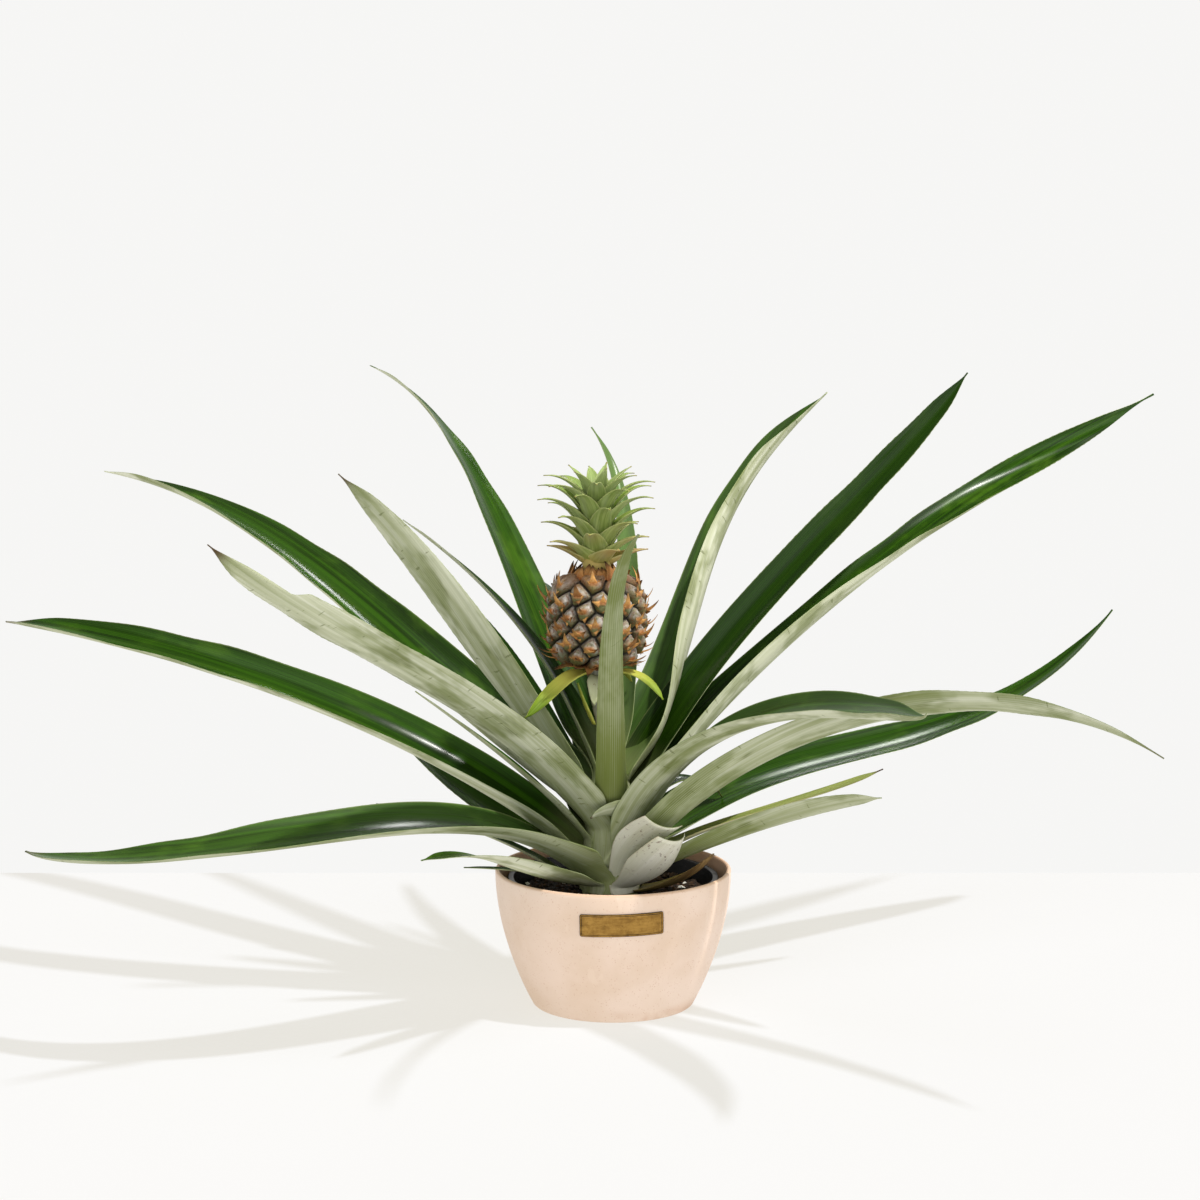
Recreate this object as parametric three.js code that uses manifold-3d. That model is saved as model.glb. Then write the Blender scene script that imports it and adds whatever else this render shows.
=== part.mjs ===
// A small pineapple plant in fruit, in its black nursery pot, inside a bowl-shaped outer pot.
// Millimetres, +Z up. The origin is the centre of the outer pot's flat underside.
// The front of the plant faces -Y, and azimuths are degrees from +X (right) through +Y (back).

import * as THREE from 'three';
import { mergeVertices } from 'three/addons/utils/BufferGeometryUtils.js';
import Module from 'manifold-3d';

const wasm = await Module();
wasm.setup();

// Driving dimensions of the outer pot and its plate
const POT_HEIGHT = 96;
const POT_RIM_RADIUS = 82.5;
const POT_FOOT_RADIUS = 56;
const POT_WALL = 3.3;
const POT_FLOOR = 5;
const POT_FULLNESS = 0.87;
const POT_SIDES = 36;
const LIP_ROUNDING = 1.4;
const POT_WALL_LEVELS = [5, 14, 28, 46, 68];
const PLATE_WIDTH = 58;
const PLATE_HEIGHT = 16;
const PLATE_THICKNESS = 1;
const PLATE_CORNER = 1.6;
const PLATE_AZIMUTH = -86;
const PLATE_CENTRE_HEIGHT = 75;
const PLATE_TILT = 1.2;

// Driving dimensions of the nursery pot and the soil
const NURSERY_RIM_RADIUS = 74;
const NURSERY_FLOOR_RADIUS = 50;
const NURSERY_TOP = 90;
const NURSERY_WALL = 1.4;
const NURSERY_LIP = 3;
const NURSERY_LIP_DEPTH = 8;
const NURSERY_SIDES = 32;
const DRAIN_HOLES = 4;
const DRAIN_RADIUS = 5;
const DRAIN_PITCH_RADIUS = 32;
const SOIL_TOP = 80;
const STEM_HOLE_FLOOR = 56;

// Driving dimensions of the stem, fruit and crown
const STEM_X = -2;
const STEM_PROFILE = [[58, 16], [80, 20], [100, 19], [150, 14], [175, 9]];
const STALK_RADIUS = 7;
const STALK_BEND_START = 172;
const STEM_SIDES = 14;
const FRUIT_X = -11.5;
const FRUIT_Y = 4;
const FRUIT_BOTTOM = 238;
const FRUIT_TOP = 304;
const FRUIT_CORE_RADIUS = 32;
const FRUIT_EYES = 72;
const FRUIT_EYE_START = 0.07;
const FRUIT_EYE_SPAN = 0.86;
const EYE_ROOT = 2.5;
const SPIKE_LIFT = 40;
const EYE_RADIUS = 8;
const EYE_HEIGHT = 3.4;
const SPIKE_LENGTH = 11;
const SPIKE_RADIUS = 2.2;
const CROWN_CORE_RADIUS = 10;
const CROWN_CORE_HEIGHT = 36;
const CROWN_LEAVES = 38;
const CROWN_TURN = 20;
const CROWN_LEAF_ROOT = 3;
const GOLDEN_ANGLE = 137.5;

// Leaf blades
const TOUCH_GAP = 0.3;
const STEM_CLEARANCE = 0.4;
const BLADE_THICKNESS = 0.8;
const BASE_THICKNESS = 1.6;
const BASE_THICKENING = 40;
const NECK_LENGTH = 35;
const NECK_WIDTH = 0.6;
const WIDEST = 0.2;
const TIP_HALF_WIDTH = 0.6;
const CHANNEL_ANGLE = 43;
const SHEATH_LENGTH = 30;
const SHEATH_LIMIT = 1.25;
const TIP_STRETCH = 0.1;
const TIP_FLATTENING = 0.4;
const LONG_LEAF = 250;
const PATH_STEPS = 60;

// Each leaf: azimuth and height where it leaves the stem, length of its centreline, angle above
// level at its base, middle and tip, sideways swing of its middle and tip, width, how fast it
// tapers, and roll of its middle and tip about its own length. Some also have their own channel, the
// half angle of the section, an inset of the base towards the stem, and the share of the length where
// the leaf ends in a cut
const LEAVES = {
  long_leaf_left: { azimuth: 173.9, height: 101.9, length: 491, rise: [38.2, 16.3, -1.4], swing: [2.4, -36.5],
    width: 57, taper: 0.31, twist: [-28.9, -1.5], channel: 68.2, inset: -0.1 },
  high_leaf_left: { azimuth: 146.1, height: 133.8, length: 567, rise: [28.1, 30, 6.3], swing: [-24.9, 3.6],
    width: 62, taper: 0.45, twist: [-24.8, 36.6], channel: 70, inset: -0.1 },
  torn_leaf_left: { azimuth: 228.5, height: 126.9, length: 412, rise: [49.1, 16.1, 36.6], swing: [0.6, -2.9],
    width: 46, taper: 0.4, twist: [18.6, 44.5], channel: 40.8, inset: 0.24 },
  broad_leaf_left: { azimuth: 187.4, height: 141.6, length: 291, rise: [54.1, 63, 44.4], swing: [7.5, 7.5],
    width: 43, taper: 0.48, twist: [67.1, 40.4], channel: 38, inset: -0.1 },
  tallest_leaf: { azimuth: 120.5, height: 162.4, length: 482, rise: [42.3, 48.2, 10.2], swing: [-12.3, 4.9],
    width: 42, taper: 0.57, twist: [22.1, 46.5], channel: 41.8, inset: 0.5 },
  narrow_leaf_left: { azimuth: 159.6, height: 167, length: 225, rise: [71.1, 45.5, 32], swing: [3.9, 0.9],
    width: 34, taper: 0.57, twist: [6.3, 31.1], channel: 36.6, inset: 0.34 },
  back_leaf_left: { azimuth: 119.8, height: 108, length: 332, rise: [47.6, 37.9, 7.3], swing: [1.2, 4.6],
    width: 28, taper: 0.6, twist: [4.9, 4.3], channel: 50.5, inset: 0.39 },
  drooping_leaf_left: { azimuth: 217, height: 89.1, length: 444, rise: [40.9, -25.6, 1.5], swing: [17.5, -89.8],
    width: 67, taper: 0.46, twist: [-19.7, 4.4], channel: 49.2, inset: 0.5 },
  low_leaf_left: { azimuth: 139.1, height: 98.4, length: 214, rise: [11.1, 23.4, 47.2], swing: [18.5, 18.1],
    width: 38, taper: 0.62, twist: [-52.3, 41.9], channel: 42.9, inset: -0.1 },
  cut_leaf_left: { azimuth: 178, height: 83, length: 172, rise: [34.2, 20.3, 6.8], swing: [2.5, 3],
    width: 14, taper: 0.6, twist: [-2.8, -1.4], channel: 46.4, inset: -0.1, end: 0.9 },
  under_leaf_left: { azimuth: 200, height: 119, length: 165, rise: [50, 38, 38], swing: [0, 0],
    width: 24, taper: 0.6, twist: [-10, 0] },
  basal_leaf_left: { azimuth: 232, height: 87, length: 192, rise: [12, 36, 0], swing: [5, 0],
    width: 30, taper: 0.6, twist: [45, -37] },
  rim_leaf_left: { azimuth: 200.5, height: 85.8, length: 89, rise: [19.5, 11.5, 5.3], swing: [-0.5, -0.8],
    width: 12, taper: 0.6, twist: [1, 0], channel: 42.8, inset: 0.5 },
  front_leaf: { azimuth: 271.5, height: 133.6, length: 385, rise: [52, 41, 21], swing: [-6, 9],
    width: 22, taper: 0.53, twist: [47, 14] },
  back_leaf: { azimuth: 76, height: 171.5, length: 262, rise: [56.4, 78.8, 39.8], swing: [1.1, 54.9],
    width: 23, taper: 0.6, twist: [-2.5, 11.8], channel: 54.8, inset: 0.05 },
  back_leaf_low: { azimuth: 99.7, height: 114.2, length: 331, rise: [51.8, 29, 0], swing: [3.1, 0.5],
    width: 34, taper: 0.6, twist: [-0.9, 0], channel: 42.1, inset: -0.1 },
  back_leaf_right: { azimuth: 71.6, height: 105.1, length: 297, rise: [48.8, 20.9, -15.8], swing: [5.1, 4.1],
    width: 32, taper: 0.6, twist: [-6, 0.4], channel: 45.7, inset: -0.1 },
  folded_leaf_right: { azimuth: 44.3, height: 158.9, length: 380, rise: [51.8, 23.2, 48.8], swing: [77.3, -52.8],
    width: 80, taper: 0.34, twist: [-136.6, 22.6], channel: 52.7, inset: 0.5 },
  straight_leaf_right: { azimuth: 38, height: 144, length: 426, rise: [56, 28, 43], swing: [-7, -1],
    width: 36, taper: 0.43, twist: [17, 30] },
  long_leaf_right: { azimuth: 28.8, height: 133.1, length: 588, rise: [45.3, 18.6, 19.8], swing: [16.2, 4.6],
    width: 63, taper: 0.78, twist: [-77.5, 117.9], channel: 64.9, inset: -0.08 },
  front_leaf_right: { azimuth: -42.8, height: 106.4, length: 418, rise: [71.7, -18.7, 18.3], swing: [-3.3, -48.5],
    width: 53, taper: 0.24, twist: [34.9, -11.6], channel: 68.4, inset: -0.1 },
  folded_tip: { azimuth: 311.3, height: 123.3, length: 53, rise: [80.6, 17.9, -34.7], swing: [-104.6, -118.8],
    width: 21, taper: 0.49, twist: [90.3, 37.2], neck: 12, channel: 38.5, inset: 0.31 },
  arching_leaf_right: { azimuth: -40.1, height: 102, length: 463, rise: [48.7, 17.5, -14.8], swing: [16.1, -19.9],
    width: 39, taper: 0.56, twist: [-55.3, -39.7], channel: 45, inset: -0.1 },
  twisted_leaf_right: { azimuth: 37.3, height: 100.1, length: 485, rise: [32.3, -32.8, 52.7], swing: [7.8, -23.4],
    width: 51, taper: 0.47, twist: [37.1, -12.5], channel: 38.6, inset: -0.09 },
  brown_leaf_right: { azimuth: 24, height: 97, length: 203, rise: [23, 4, 17], swing: [-4, 2],
    width: 20, taper: 0.56, twist: [-30, 34] },
  low_leaf_right: { azimuth: -14.7, height: 90.1, length: 204, rise: [26.3, 29.7, 11], swing: [-27.6, -22.2],
    width: 33, taper: 0.5, twist: [-36.2, -53.1], channel: 41.1, inset: 0.5 },
  bent_leaf_right: { azimuth: 36.5, height: 119, length: 100, rise: [67.7, 14.1, -52.4], swing: [-0.9, -1.3],
    width: 24, taper: 0.6, twist: [-0.2, 2.2], channel: 42.5, inset: 0.25 },
  withered_sheath: { azimuth: -20.8, height: 80.8, length: 67, rise: [9, 22.3, 56.7], swing: [-5.2, -5.4],
    width: 30, taper: 0.6, twist: [-1.4, -2.1], channel: 65.2, inset: 0.31 },
  cut_sheath_high: { azimuth: 298.3, height: 95.8, length: 99, rise: [65.8, 15.1, 28.7], swing: [25.6, -12],
    width: 37, taper: 0.2, twist: [-52.6, 8.8], channel: 47.2, inset: 0.42, end: 0.62 },
  cut_sheath_low: { azimuth: 306, height: 85.9, length: 105, rise: [20.8, 65.1, 49.9], swing: [6.6, 61.8],
    width: 42, taper: 0.27, twist: [-57.1, 49.6], channel: 58.8, inset: 0.13, end: 0.6 },
};

// Bracts under the fruit and on its stalk, which start on the stalk instead of the stem
const BRACTS = {
  yellow_bract_left: { azimuth: 216.6, height: 234, length: 62, rise: [2.5, -53.4, -23.7], swing: [-8.9, 16.7],
    width: 15.9, taper: 0.67, twist: [-14.7, -73.2], channel: 27.5, inset: 0.9 },
  yellow_bract_right: { azimuth: -15, height: 233, length: 49, rise: [18, -20, -54], swing: [-19, -23],
    width: 14.6, taper: 0.5, twist: [-5, 49], channel: 18, inset: 0.9 },
  yellow_bract_back: { azimuth: 48, height: 233, length: 32, rise: [10, -20, -50], width: 12, inset: 0.9 },
  cream_bract: { azimuth: 266, height: 232, length: 26, rise: [-5, -50, -85], width: 13 },
  stalk_bract: { azimuth: 200, height: 198, length: 32, rise: [62, 68, 75], width: 8 },
};

const deg = THREE.MathUtils.degToRad;

function smooth(t) {
  const s = THREE.MathUtils.clamp(t, 0, 1);
  return s * s * (3 - 2 * s);
}

function stemRadius(z) {
  const above = STEM_PROFILE.findIndex(([height]) => height >= z);
  if (above <= 0) return STEM_PROFILE[above < 0 ? STEM_PROFILE.length - 1 : 0][1];
  const [z0, r0] = STEM_PROFILE[above - 1];
  const [z1, r1] = STEM_PROFILE[above];
  return r0 + (r1 - r0) * (z - z0) / (z1 - z0);
}

// Closed solids from grids of points

function signedVolume(points, faces) {
  let volume = 0;
  const cross = new THREE.Vector3();
  for (const [a, b, c] of faces) {
    volume += points[a].dot(cross.crossVectors(points[b], points[c])) / 6;
  }
  return volume;
}

function solid(points, faces) {
  const outward = signedVolume(points, faces) > 0;
  const index = faces.flatMap(([a, b, c]) => (outward ? [a, b, c] : [a, c, b]));
  const geometry = new THREE.BufferGeometry();
  const positions = points.flatMap((p) => [p.x, p.y, p.z]);
  geometry.setAttribute('position', new THREE.Float32BufferAttribute(positions, 3));
  geometry.setIndex(index);
  return geometry;
}

// A thin body between an upper and a lower grid of points, split alike on both faces
function slab(upper, lower) {
  const rows = upper.length;
  const columns = upper[0].length;
  const points = [...upper.flat(), ...lower.flat()];
  const top = (i, j) => i * columns + j;
  const under = (i, j) => rows * columns + i * columns + j;
  const faces = [];
  const quad = (a, b, c, d) => faces.push([a, b, c], [a, c, d]);
  for (let i = 0; i < rows - 1; i += 1) {
    for (let j = 0; j < columns - 1; j += 1) {
      faces.push([top(i, j), top(i + 1, j), top(i + 1, j + 1)]);
      faces.push([top(i, j), top(i + 1, j + 1), top(i, j + 1)]);
      faces.push([under(i, j), under(i + 1, j + 1), under(i + 1, j)]);
      faces.push([under(i, j), under(i, j + 1), under(i + 1, j + 1)]);
    }
    quad(top(i, 0), under(i, 0), under(i + 1, 0), top(i + 1, 0));
    const edge = columns - 1;
    quad(top(i, edge), top(i + 1, edge), under(i + 1, edge), under(i, edge));
  }
  for (let j = 0; j < columns - 1; j += 1) {
    quad(top(0, j), top(0, j + 1), under(0, j + 1), under(0, j));
    quad(top(rows - 1, j), under(rows - 1, j), under(rows - 1, j + 1), top(rows - 1, j + 1));
  }
  return solid(points, faces);
}

// A round body through rings of points, closed by a flat end at each end
function ringBody(rings) {
  const sides = rings[0].length;
  const points = rings.flat();
  const faces = [];
  for (let i = 0; i < rings.length - 1; i += 1) {
    for (let j = 0; j < sides; j += 1) {
      const k = (j + 1) % sides;
      const [a, b, c, d] = [i * sides + j, i * sides + k, (i + 1) * sides + k, (i + 1) * sides + j];
      faces.push([a, b, c], [a, c, d]);
    }
  }
  const last = (rings.length - 1) * sides;
  for (let j = 1; j < sides - 1; j += 1) {
    faces.push([0, j + 1, j], [last, last + j, last + j + 1]);
  }
  return solid(points, faces);
}

function ring(x, y, z, radius, sides) {
  return Array.from({ length: sides }, (_, k) => {
    const angle = 2 * Math.PI * k / sides;
    return new THREE.Vector3(x + radius * Math.cos(angle), y + radius * Math.sin(angle), z);
  });
}

// Joining and cutting

function toSolid(geometry) {
  const bare = geometry.clone();
  bare.deleteAttribute('normal');
  bare.deleteAttribute('uv');
  const merged = mergeVertices(bare, 1e-4);
  return new wasm.Manifold(new wasm.Mesh({
    numProp: 3,
    vertProperties: new Float32Array(merged.attributes.position.array),
    triVerts: new Uint32Array(merged.index.array),
  }));
}

function toGeometry(manifold) {
  const mesh = manifold.getMesh();
  const geometry = new THREE.BufferGeometry();
  geometry.setAttribute('position', new THREE.BufferAttribute(new Float32Array(mesh.vertProperties), 3));
  geometry.setIndex(new THREE.BufferAttribute(new Uint32Array(mesh.triVerts), 1));
  return geometry;
}

// Joins the pieces and drops any scrap that the joining leaves loose
function fuse(geometries) {
  const joined = geometries.map(toSolid).reduce((all, piece) => all.add(piece));
  return joined.decompose().reduce((best, body) => (body.volume() > best.volume() ? body : best));
}

// The outer pot: a bowl of one wall thickness, its side a quarter wave from foot to rim

function potRadius(z) {
  const t = THREE.MathUtils.clamp(z / POT_HEIGHT, 0, 1);
  const flare = Math.sin(Math.PI * t / 2) ** POT_FULLNESS;
  return POT_FOOT_RADIUS + (POT_RIM_RADIUS - POT_FOOT_RADIUS) * flare;
}

function lathe(profile, sides) {
  const geometry = new THREE.LatheGeometry(profile.map(([r, z]) => new THREE.Vector2(r, z)), sides);
  geometry.rotateX(Math.PI / 2);
  return geometry;
}

function potGeometry() {
  const outside = POT_WALL_LEVELS.map((z) => [potRadius(z), z]);
  const inside = outside.filter(([, z]) => z > POT_FLOOR + 4).map(([r, z]) => [r - POT_WALL, z]).reverse();
  const lip = [
    [POT_RIM_RADIUS, POT_HEIGHT - LIP_ROUNDING],
    [POT_RIM_RADIUS - LIP_ROUNDING, POT_HEIGHT],
    [POT_RIM_RADIUS - POT_WALL + LIP_ROUNDING / 2, POT_HEIGHT],
    [POT_RIM_RADIUS - POT_WALL, POT_HEIGHT - LIP_ROUNDING],
  ];
  const foot = [[0, 0], [POT_FOOT_RADIUS - 1, 0], [POT_FOOT_RADIUS + 1.5, 1.5]];
  const floor = [[POT_FOOT_RADIUS - POT_WALL, POT_FLOOR], [0, POT_FLOOR]];
  return lathe([...foot, ...outside, ...lip, ...inside, ...floor], POT_SIDES);
}

// The plate: a rounded metal strip bent to the pot's wall, blank

function plateGeometry() {
  const columns = 14;
  const rows = 2;
  const half = PLATE_WIDTH / 2;
  const tilt = deg(PLATE_TILT);
  const grid = (offset) => Array.from({ length: columns + 1 }, (_, i) => {
    const across = half * Math.sin(Math.PI / 2 * (2 * i / columns - 1));
    const into = Math.max(0, Math.abs(across) - (half - PLATE_CORNER));
    const cut = PLATE_CORNER - Math.sqrt(Math.max(0, PLATE_CORNER ** 2 - into ** 2));
    return Array.from({ length: rows + 1 }, (__, j) => {
      const up = (PLATE_HEIGHT / 2 - cut) * (2 * j / rows - 1);
      const side = across * Math.cos(tilt) - up * Math.sin(tilt);
      const z = PLATE_CENTRE_HEIGHT + across * Math.sin(tilt) + up * Math.cos(tilt);
      const radius = potRadius(z) + TOUCH_GAP + offset;
      const angle = deg(PLATE_AZIMUTH) + side / radius;
      return new THREE.Vector3(radius * Math.cos(angle), radius * Math.sin(angle), z);
    });
  });
  return slab(grid(PLATE_THICKNESS), grid(0));
}

// The nursery pot: a thin tapered plastic pot with a lip and drain holes

function nurseryRadius(z) {
  const t = (z - POT_FLOOR) / (NURSERY_TOP - POT_FLOOR);
  return NURSERY_FLOOR_RADIUS + (NURSERY_RIM_RADIUS - NURSERY_LIP - NURSERY_FLOOR_RADIUS) * t;
}

function nurseryGeometry() {
  const bottom = POT_FLOOR + TOUCH_GAP;
  const floor = bottom + NURSERY_WALL;
  const lipBottom = NURSERY_TOP - NURSERY_LIP_DEPTH;
  const body = lathe([
    [0, bottom],
    [NURSERY_FLOOR_RADIUS, bottom],
    [nurseryRadius(lipBottom), lipBottom],
    [NURSERY_RIM_RADIUS, lipBottom],
    [NURSERY_RIM_RADIUS, NURSERY_TOP - 1],
    [NURSERY_RIM_RADIUS - 1, NURSERY_TOP],
    [nurseryRadius(NURSERY_TOP) - NURSERY_WALL, NURSERY_TOP],
    [NURSERY_FLOOR_RADIUS - NURSERY_WALL, floor],
    [0, floor],
  ], NURSERY_SIDES);
  let pot = toSolid(body);
  for (let k = 0; k < DRAIN_HOLES; k += 1) {
    const angle = 2 * Math.PI * (k + 0.5) / DRAIN_HOLES;
    const hole = new THREE.CylinderGeometry(DRAIN_RADIUS, DRAIN_RADIUS, 6, 8);
    hole.rotateX(Math.PI / 2);
    hole.translate(DRAIN_PITCH_RADIUS * Math.cos(angle), DRAIN_PITCH_RADIUS * Math.sin(angle), floor);
    pot = pot.subtract(toSolid(hole));
  }
  return toGeometry(pot);
}

// The soil: it fills the nursery pot, and the stem stands in a plain hole in it

function soilGeometry() {
  const bottom = POT_FLOOR + 2 * TOUCH_GAP + NURSERY_WALL;
  const radius = (z) => nurseryRadius(z) - NURSERY_WALL - 2 * TOUCH_GAP;
  const hole = Math.max(...STEM_PROFILE.map(([, r]) => r)) + 2 * TOUCH_GAP;
  const fill = lathe([
    [0, bottom],
    [radius(bottom), bottom],
    [radius(SOIL_TOP - 2), SOIL_TOP - 2],
    [radius(SOIL_TOP) - 5, SOIL_TOP],
    [0, SOIL_TOP],
  ], NURSERY_SIDES);
  const depth = SOIL_TOP - STEM_HOLE_FLOOR;
  const bore = new THREE.CylinderGeometry(hole, hole, depth + 4, 24);
  bore.rotateX(Math.PI / 2);
  bore.translate(STEM_X, 0, STEM_HOLE_FLOOR + (depth + 4) / 2);
  return toGeometry(toSolid(fill).subtract(toSolid(bore)));
}

// The stem: a club with the fruit stalk growing out of its top, bending over to the fruit

const STALK_TOP = FRUIT_BOTTOM - TOUCH_GAP;

function stalkBend(z) {
  return smooth((z - STALK_BEND_START) / (STALK_TOP - STALK_BEND_START));
}

function stemGeometry() {
  const top = STEM_PROFILE[STEM_PROFILE.length - 1][0];
  const levels = [...STEM_PROFILE, [top + 4, STALK_RADIUS], [195, STALK_RADIUS], [214, STALK_RADIUS],
    [STALK_TOP, STALK_RADIUS]];
  return ringBody(levels.map(([z, radius]) => {
    const bend = stalkBend(z);
    return ring(STEM_X + (FRUIT_X - STEM_X) * bend, FRUIT_Y * bend, z, radius, STEM_SIDES);
  }));
}

// The leaves: a centreline that leaves the stem and arches, with a channelled section along it

function quadratic(first, middle, last, u) {
  return (1 - u) ** 2 * first + 2 * u * (1 - u) * middle + u ** 2 * last;
}

function leafAngles(leaf, u) {
  return {
    rise: deg(quadratic(...leaf.rise, u)),
    azimuth: deg(leaf.azimuth + quadratic(0, ...leaf.swing, u)),
    roll: deg(quadratic(0, ...leaf.twist, u)),
  };
}

function leafDirection(leaf, u) {
  const { rise, azimuth } = leafAngles(leaf, u);
  const level = Math.cos(rise);
  return new THREE.Vector3(level * Math.cos(azimuth), level * Math.sin(azimuth), Math.sin(rise));
}

function leafPath(leaf) {
  const end = leaf.end ?? 1;
  const start = leaf.start ?? [STEM_X, 0];
  const beside = leaf.reach ?? stemRadius(leaf.height) + BASE_THICKNESS / 2 + STEM_CLEARANCE;
  const reach = beside - (leaf.inset ?? 0);
  const angle = deg(leaf.azimuth);
  const point = new THREE.Vector3(Math.cos(angle), Math.sin(angle), 0).multiplyScalar(reach)
    .add(new THREE.Vector3(start[0], start[1], leaf.height));
  const path = [point.clone()];
  for (let k = 0; k < PATH_STEPS; k += 1) {
    const here = leafDirection(leaf, end * k / PATH_STEPS);
    const next = leafDirection(leaf, end * (k + 1) / PATH_STEPS);
    point.addScaledVector(here.add(next), 0.5 * leaf.length * end / PATH_STEPS);
    path.push(point.clone());
  }
  return { path, reach, end };
}

// The blade narrows to a point over the last stretch of its length

function tipPoint(u) {
  const left = Math.min((1 - u) / TIP_STRETCH, 1);
  return 1 - (1 - left) ** 2;
}

function leafGeometry(leaf, rows, columns) {
  const { path, reach, end } = leafPath(leaf);
  const neck = leaf.neck ?? NECK_LENGTH;
  const channel = deg(leaf.channel ?? CHANNEL_ANGLE);
  const baseHalf = leaf.width / 2 * NECK_WIDTH / (1 - WIDEST) ** leaf.taper;
  const sheath = Math.min(baseHalf / reach, SHEATH_LIMIT);
  const upper = [];
  const lower = [];
  for (let i = 0; i <= rows; i += 1) {
    const u = end * i / rows;
    const { azimuth, roll } = leafAngles(leaf, u);
    const along = leafDirection(leaf, u);
    const level = new THREE.Vector3(-Math.sin(azimuth), Math.cos(azimuth), 0);
    const face = new THREE.Vector3().crossVectors(along, level);
    const across = level.clone().multiplyScalar(Math.cos(roll)).addScaledVector(face, Math.sin(roll));
    const up = new THREE.Vector3().crossVectors(along, across);
    const widening = NECK_WIDTH + (1 - NECK_WIDTH) * smooth(u * leaf.length / neck);
    const taper = ((1 - u) / (1 - WIDEST)) ** leaf.taper;
    const half = Math.max(leaf.width / 2 * taper * widening * tipPoint(u), TIP_HALF_WIDTH);
    const clasping = Math.exp(-((u * leaf.length / SHEATH_LENGTH) ** 2));
    const bend = (channel + (sheath - channel) * clasping) * (1 - TIP_FLATTENING * u);
    const fleshy = Math.exp(-((u * leaf.length / BASE_THICKENING) ** 2));
    const thick = BLADE_THICKNESS + (BASE_THICKNESS - BLADE_THICKNESS) * fleshy;
    const centre = path[Math.round(PATH_STEPS * i / rows)];
    const row = (side) => Array.from({ length: columns + 1 }, (_, j) => {
      const angle = bend * (2 * j / columns - 1);
      const normal = up.clone().multiplyScalar(Math.cos(angle)).addScaledVector(across, -Math.sin(angle));
      return centre.clone()
        .addScaledVector(across, half * Math.sin(angle) / bend)
        .addScaledVector(up, half * (1 - Math.cos(angle)) / bend)
        .addScaledVector(normal, side * thick / 2);
    });
    upper.push(row(1));
    lower.push(row(-1));
  }
  return slab(upper, lower);
}

// The fruit: a barrel with an eye at each turn of a golden-angle spiral, and a spike on each eye

function fruitRadius(t) {
  return FRUIT_CORE_RADIUS * (1 - Math.abs(2 * t - 1) ** 3.6) ** 0.42;
}

function fruitCentre(t) {
  return new THREE.Vector3(FRUIT_X, FRUIT_Y, FRUIT_BOTTOM + (FRUIT_TOP - FRUIT_BOTTOM) * t);
}

function outwardFrame(angle, tilt) {
  const level = Math.cos(tilt);
  const out = new THREE.Vector3(Math.cos(angle) * level, Math.sin(angle) * level, Math.sin(tilt));
  const side = new THREE.Vector3(-Math.sin(angle), Math.cos(angle), 0);
  const up = new THREE.Vector3().crossVectors(out, side);
  return new THREE.Matrix4().makeBasis(side, up, out);
}

function fruitGeometry() {
  const levels = [0, 0.06, 0.2, 0.38, 0.62, 0.8, 0.94, 1];
  const core = ringBody(levels.map((t) => {
    const c = fruitCentre(t);
    return ring(c.x, c.y, c.z, Math.max(fruitRadius(t), 13), 16);
  }));
  const pieces = [core];
  const height = FRUIT_TOP - FRUIT_BOTTOM;
  for (let k = 0; k < FRUIT_EYES; k += 1) {
    const t = FRUIT_EYE_START + FRUIT_EYE_SPAN * (k + 0.5) / FRUIT_EYES;
    const slope = Math.atan2(fruitRadius(t - 0.02) - fruitRadius(t + 0.02), 0.04 * height);
    const angle = deg(GOLDEN_ANGLE * k);
    const frame = outwardFrame(angle, slope);
    const seat = fruitCentre(t).add(
      new THREE.Vector3(Math.cos(angle), Math.sin(angle), 0).multiplyScalar(fruitRadius(t)),
    );
    const eye = new THREE.ConeGeometry(EYE_RADIUS, EYE_HEIGHT + EYE_ROOT, 6);
    eye.rotateX(Math.PI / 2);
    eye.translate(0, 0, (EYE_HEIGHT - EYE_ROOT) / 2);
    eye.applyMatrix4(frame.clone().setPosition(seat));
    const spike = new THREE.ConeGeometry(SPIKE_RADIUS, SPIKE_LENGTH, 3);
    spike.rotateX(Math.PI / 2 - deg(SPIKE_LIFT));
    spike.translate(0, SPIKE_LENGTH * 0.3, SPIKE_LENGTH * 0.32);
    spike.applyMatrix4(frame.clone().setPosition(seat));
    pieces.push(eye, spike);
  }
  return toGeometry(fuse(pieces));
}

// The crown: short broad leaves on a small core, which arch outward, with an upright tuft on top

function crownGeometry() {
  const bottom = FRUIT_TOP + TOUCH_GAP;
  const core = ringBody([[0, 0.9], [0.3, 1], [0.7, 0.8], [1, 0.3]].map(([t, scale]) => (
    ring(FRUIT_X, FRUIT_Y, bottom + CROWN_CORE_HEIGHT * t, CROWN_CORE_RADIUS * scale, 10))));
  const pieces = [core];
  for (let k = 0; k < CROWN_LEAVES; k += 1) {
    const t = (k + 0.5) / CROWN_LEAVES;
    const low = (1 - t) ** 5;
    const high = smooth((t - 0.75) / 0.25);
    const leaf = {
      start: [FRUIT_X, FRUIT_Y],
      reach: CROWN_CORE_RADIUS * (1 - 0.7 * t) - CROWN_LEAF_ROOT,
      height: bottom + CROWN_LEAF_ROOT + (CROWN_CORE_HEIGHT - 2 * CROWN_LEAF_ROOT) * t,
      azimuth: CROWN_TURN + GOLDEN_ANGLE * k,
      length: 32 + 22 * smooth(t / 0.5) - 13 * high,
      rise: [60 + 24 * t - 24 * low, 50 + 24 * t - 16 * low, -12 + 10 * low + 60 * high],
      swing: [0, 0],
      twist: [0, 0],
      width: 18 + 3.5 * smooth(t / 0.3),
      taper: 0.62,
      neck: 4,
      channel: 52,
    };
    pieces.push(leafGeometry(leaf, 3, 2));
  }
  return toGeometry(fuse(pieces));
}

// Finishes, from the plant and pot

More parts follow.
